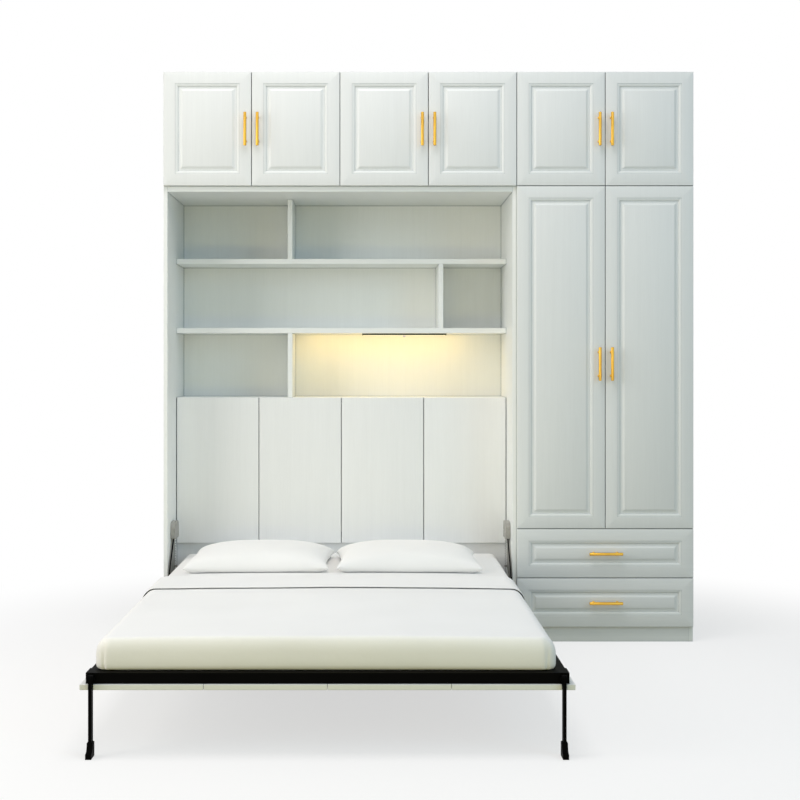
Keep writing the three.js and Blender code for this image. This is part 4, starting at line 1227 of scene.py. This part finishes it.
def add_camera():
    data = bpy.data.cameras.new("camera")
    data.sensor_width = SENSOR
    data.lens = SENSOR * FOCAL_PIXELS / FRAME_PIXELS
    data.shift_x = (FRAME_PIXELS / 2 - VANISHING_X) / FRAME_PIXELS
    data.shift_y = (VANISHING_Y - FRAME_PIXELS / 2) / FRAME_PIXELS
    camera = placed("camera", data)
    camera.location = (-CAMERA_LEFT, front_plane - CAMERA_BEFORE_BOARDS, CAMERA_HEIGHT)
    camera.rotation_euler = (math.pi / 2, 0, 0)
    bpy.context.scene.camera = camera


def area_light(name, place, target, size, power, colour):
    data = bpy.data.lights.new(name, "AREA")
    data.shape = "RECTANGLE"
    data.size, data.size_y = size
    data.energy = power
    data.color = colour
    light = placed(name, data)
    light.location = place
    light.rotation_euler = (Vector(target) - Vector(place)).to_track_quat("-Z", "Y").to_euler()


def direct_ray(tree):
    """1 where the camera, a reflection or glass looks straight at a surface, and 0 elsewhere."""
    path = new_node(tree, "LightPath")
    seen = path.outputs["Is Camera Ray"]
    for ray in ("Is Glossy Ray", "Is Transmission Ray"):
        seen = worked_out(tree, "MAXIMUM", seen, path.outputs[ray])
    return seen


def add_world():
    """Soft studio light, and plain white where the camera or a reflection sees past the object."""
    world = bpy.data.worlds.new("studio")
    bpy.context.scene.world = world
    world.use_nodes = True
    tree = world.node_tree
    tree.nodes.clear()
    choice = new_node(tree, "MixShader")
    tree.links.new(direct_ray(tree), choice.inputs[0])
    for socket, colour in ((1, WORLD_COLOUR), (2, PLAIN_WHITE)):
        sky = new_node(tree, "Background", color=(*colour, 1), strength=1.0)
        tree.links.new(sky.outputs[0], choice.inputs[socket])
    out = new_node(tree, "OutputWorld")
    tree.links.new(choice.outputs[0], out.inputs["Surface"])


def add_floor():
    """A pale floor that keeps the object's shadow near it and fades to plain white further out."""
    corners = [(x * FLOOR_HALF, y * FLOOR_HALF, 0) for x, y in ((-1, -1), (1, -1), (1, 1), (-1, 1))]
    mesh = mesh_of("floor", corners, [(0, 1, 2, 3)])
    floor = placed("floor", mesh)
    floor.location.z = -FLOOR_DROP
    material, tree, shader = principled("pale_floor", FLOOR_SEEN, roughness=0.8, specular=0.1)
    seen = direct_ray(tree)
    colour_between(tree, shader, seen, FLOOR_BOUNCE, FLOOR_SEEN, low=0.0, high=1.0)
    white = new_node(tree, "Emission", strength=1.0)
    choice = new_node(tree, "MixShader")
    coordinates = new_node(tree, "TexCoord")
    length = new_node(tree, "VectorMath")
    length.operation = "LENGTH"
    near, far = FLOOR_FADE
    fade = new_node(tree, "MapRange", from_min=near, from_max=far, to_min=FLOOR_WHITE_SHARE)
    fade.interpolation_type = "SMOOTHSTEP"
    tree.links.new(coordinates.outputs["Object"], length.inputs[0])
    tree.links.new(length.outputs["Value"], fade.inputs["Value"])
    tree.links.new(worked_out(tree, "MULTIPLY", seen, fade.outputs["Result"]), choice.inputs[0])
    tree.links.new(shader.outputs[0], choice.inputs[1])
    tree.links.new(white.outputs[0], choice.inputs[2])
    tree.links.new(choice.outputs[0], tree.nodes["Material Output"].inputs["Surface"])
    mesh.materials.append(material)


def add_shelf_glow():
    """The warm light that the light bar throws on its shelf compartment."""
    low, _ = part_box("light_bar")
    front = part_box("shelf_middle")[0].y
    start = Vector((GLOW_PLACE, front + GLOW_SETBACK, low.z + GLOW_RISE))
    area_light("shelf_glow", start, start + GLOW_AIM, GLOW_SIZE, GLOW_POWER, GLOW_COLOUR)


add_camera()
add_world()
add_floor()
for name, place, target, size, power, colour in STUDIO_LIGHTS:
    area_light(name, place, target, size, power, colour)
add_shelf_glow()
bpy.context.scene.view_settings.view_transform = "Standard"
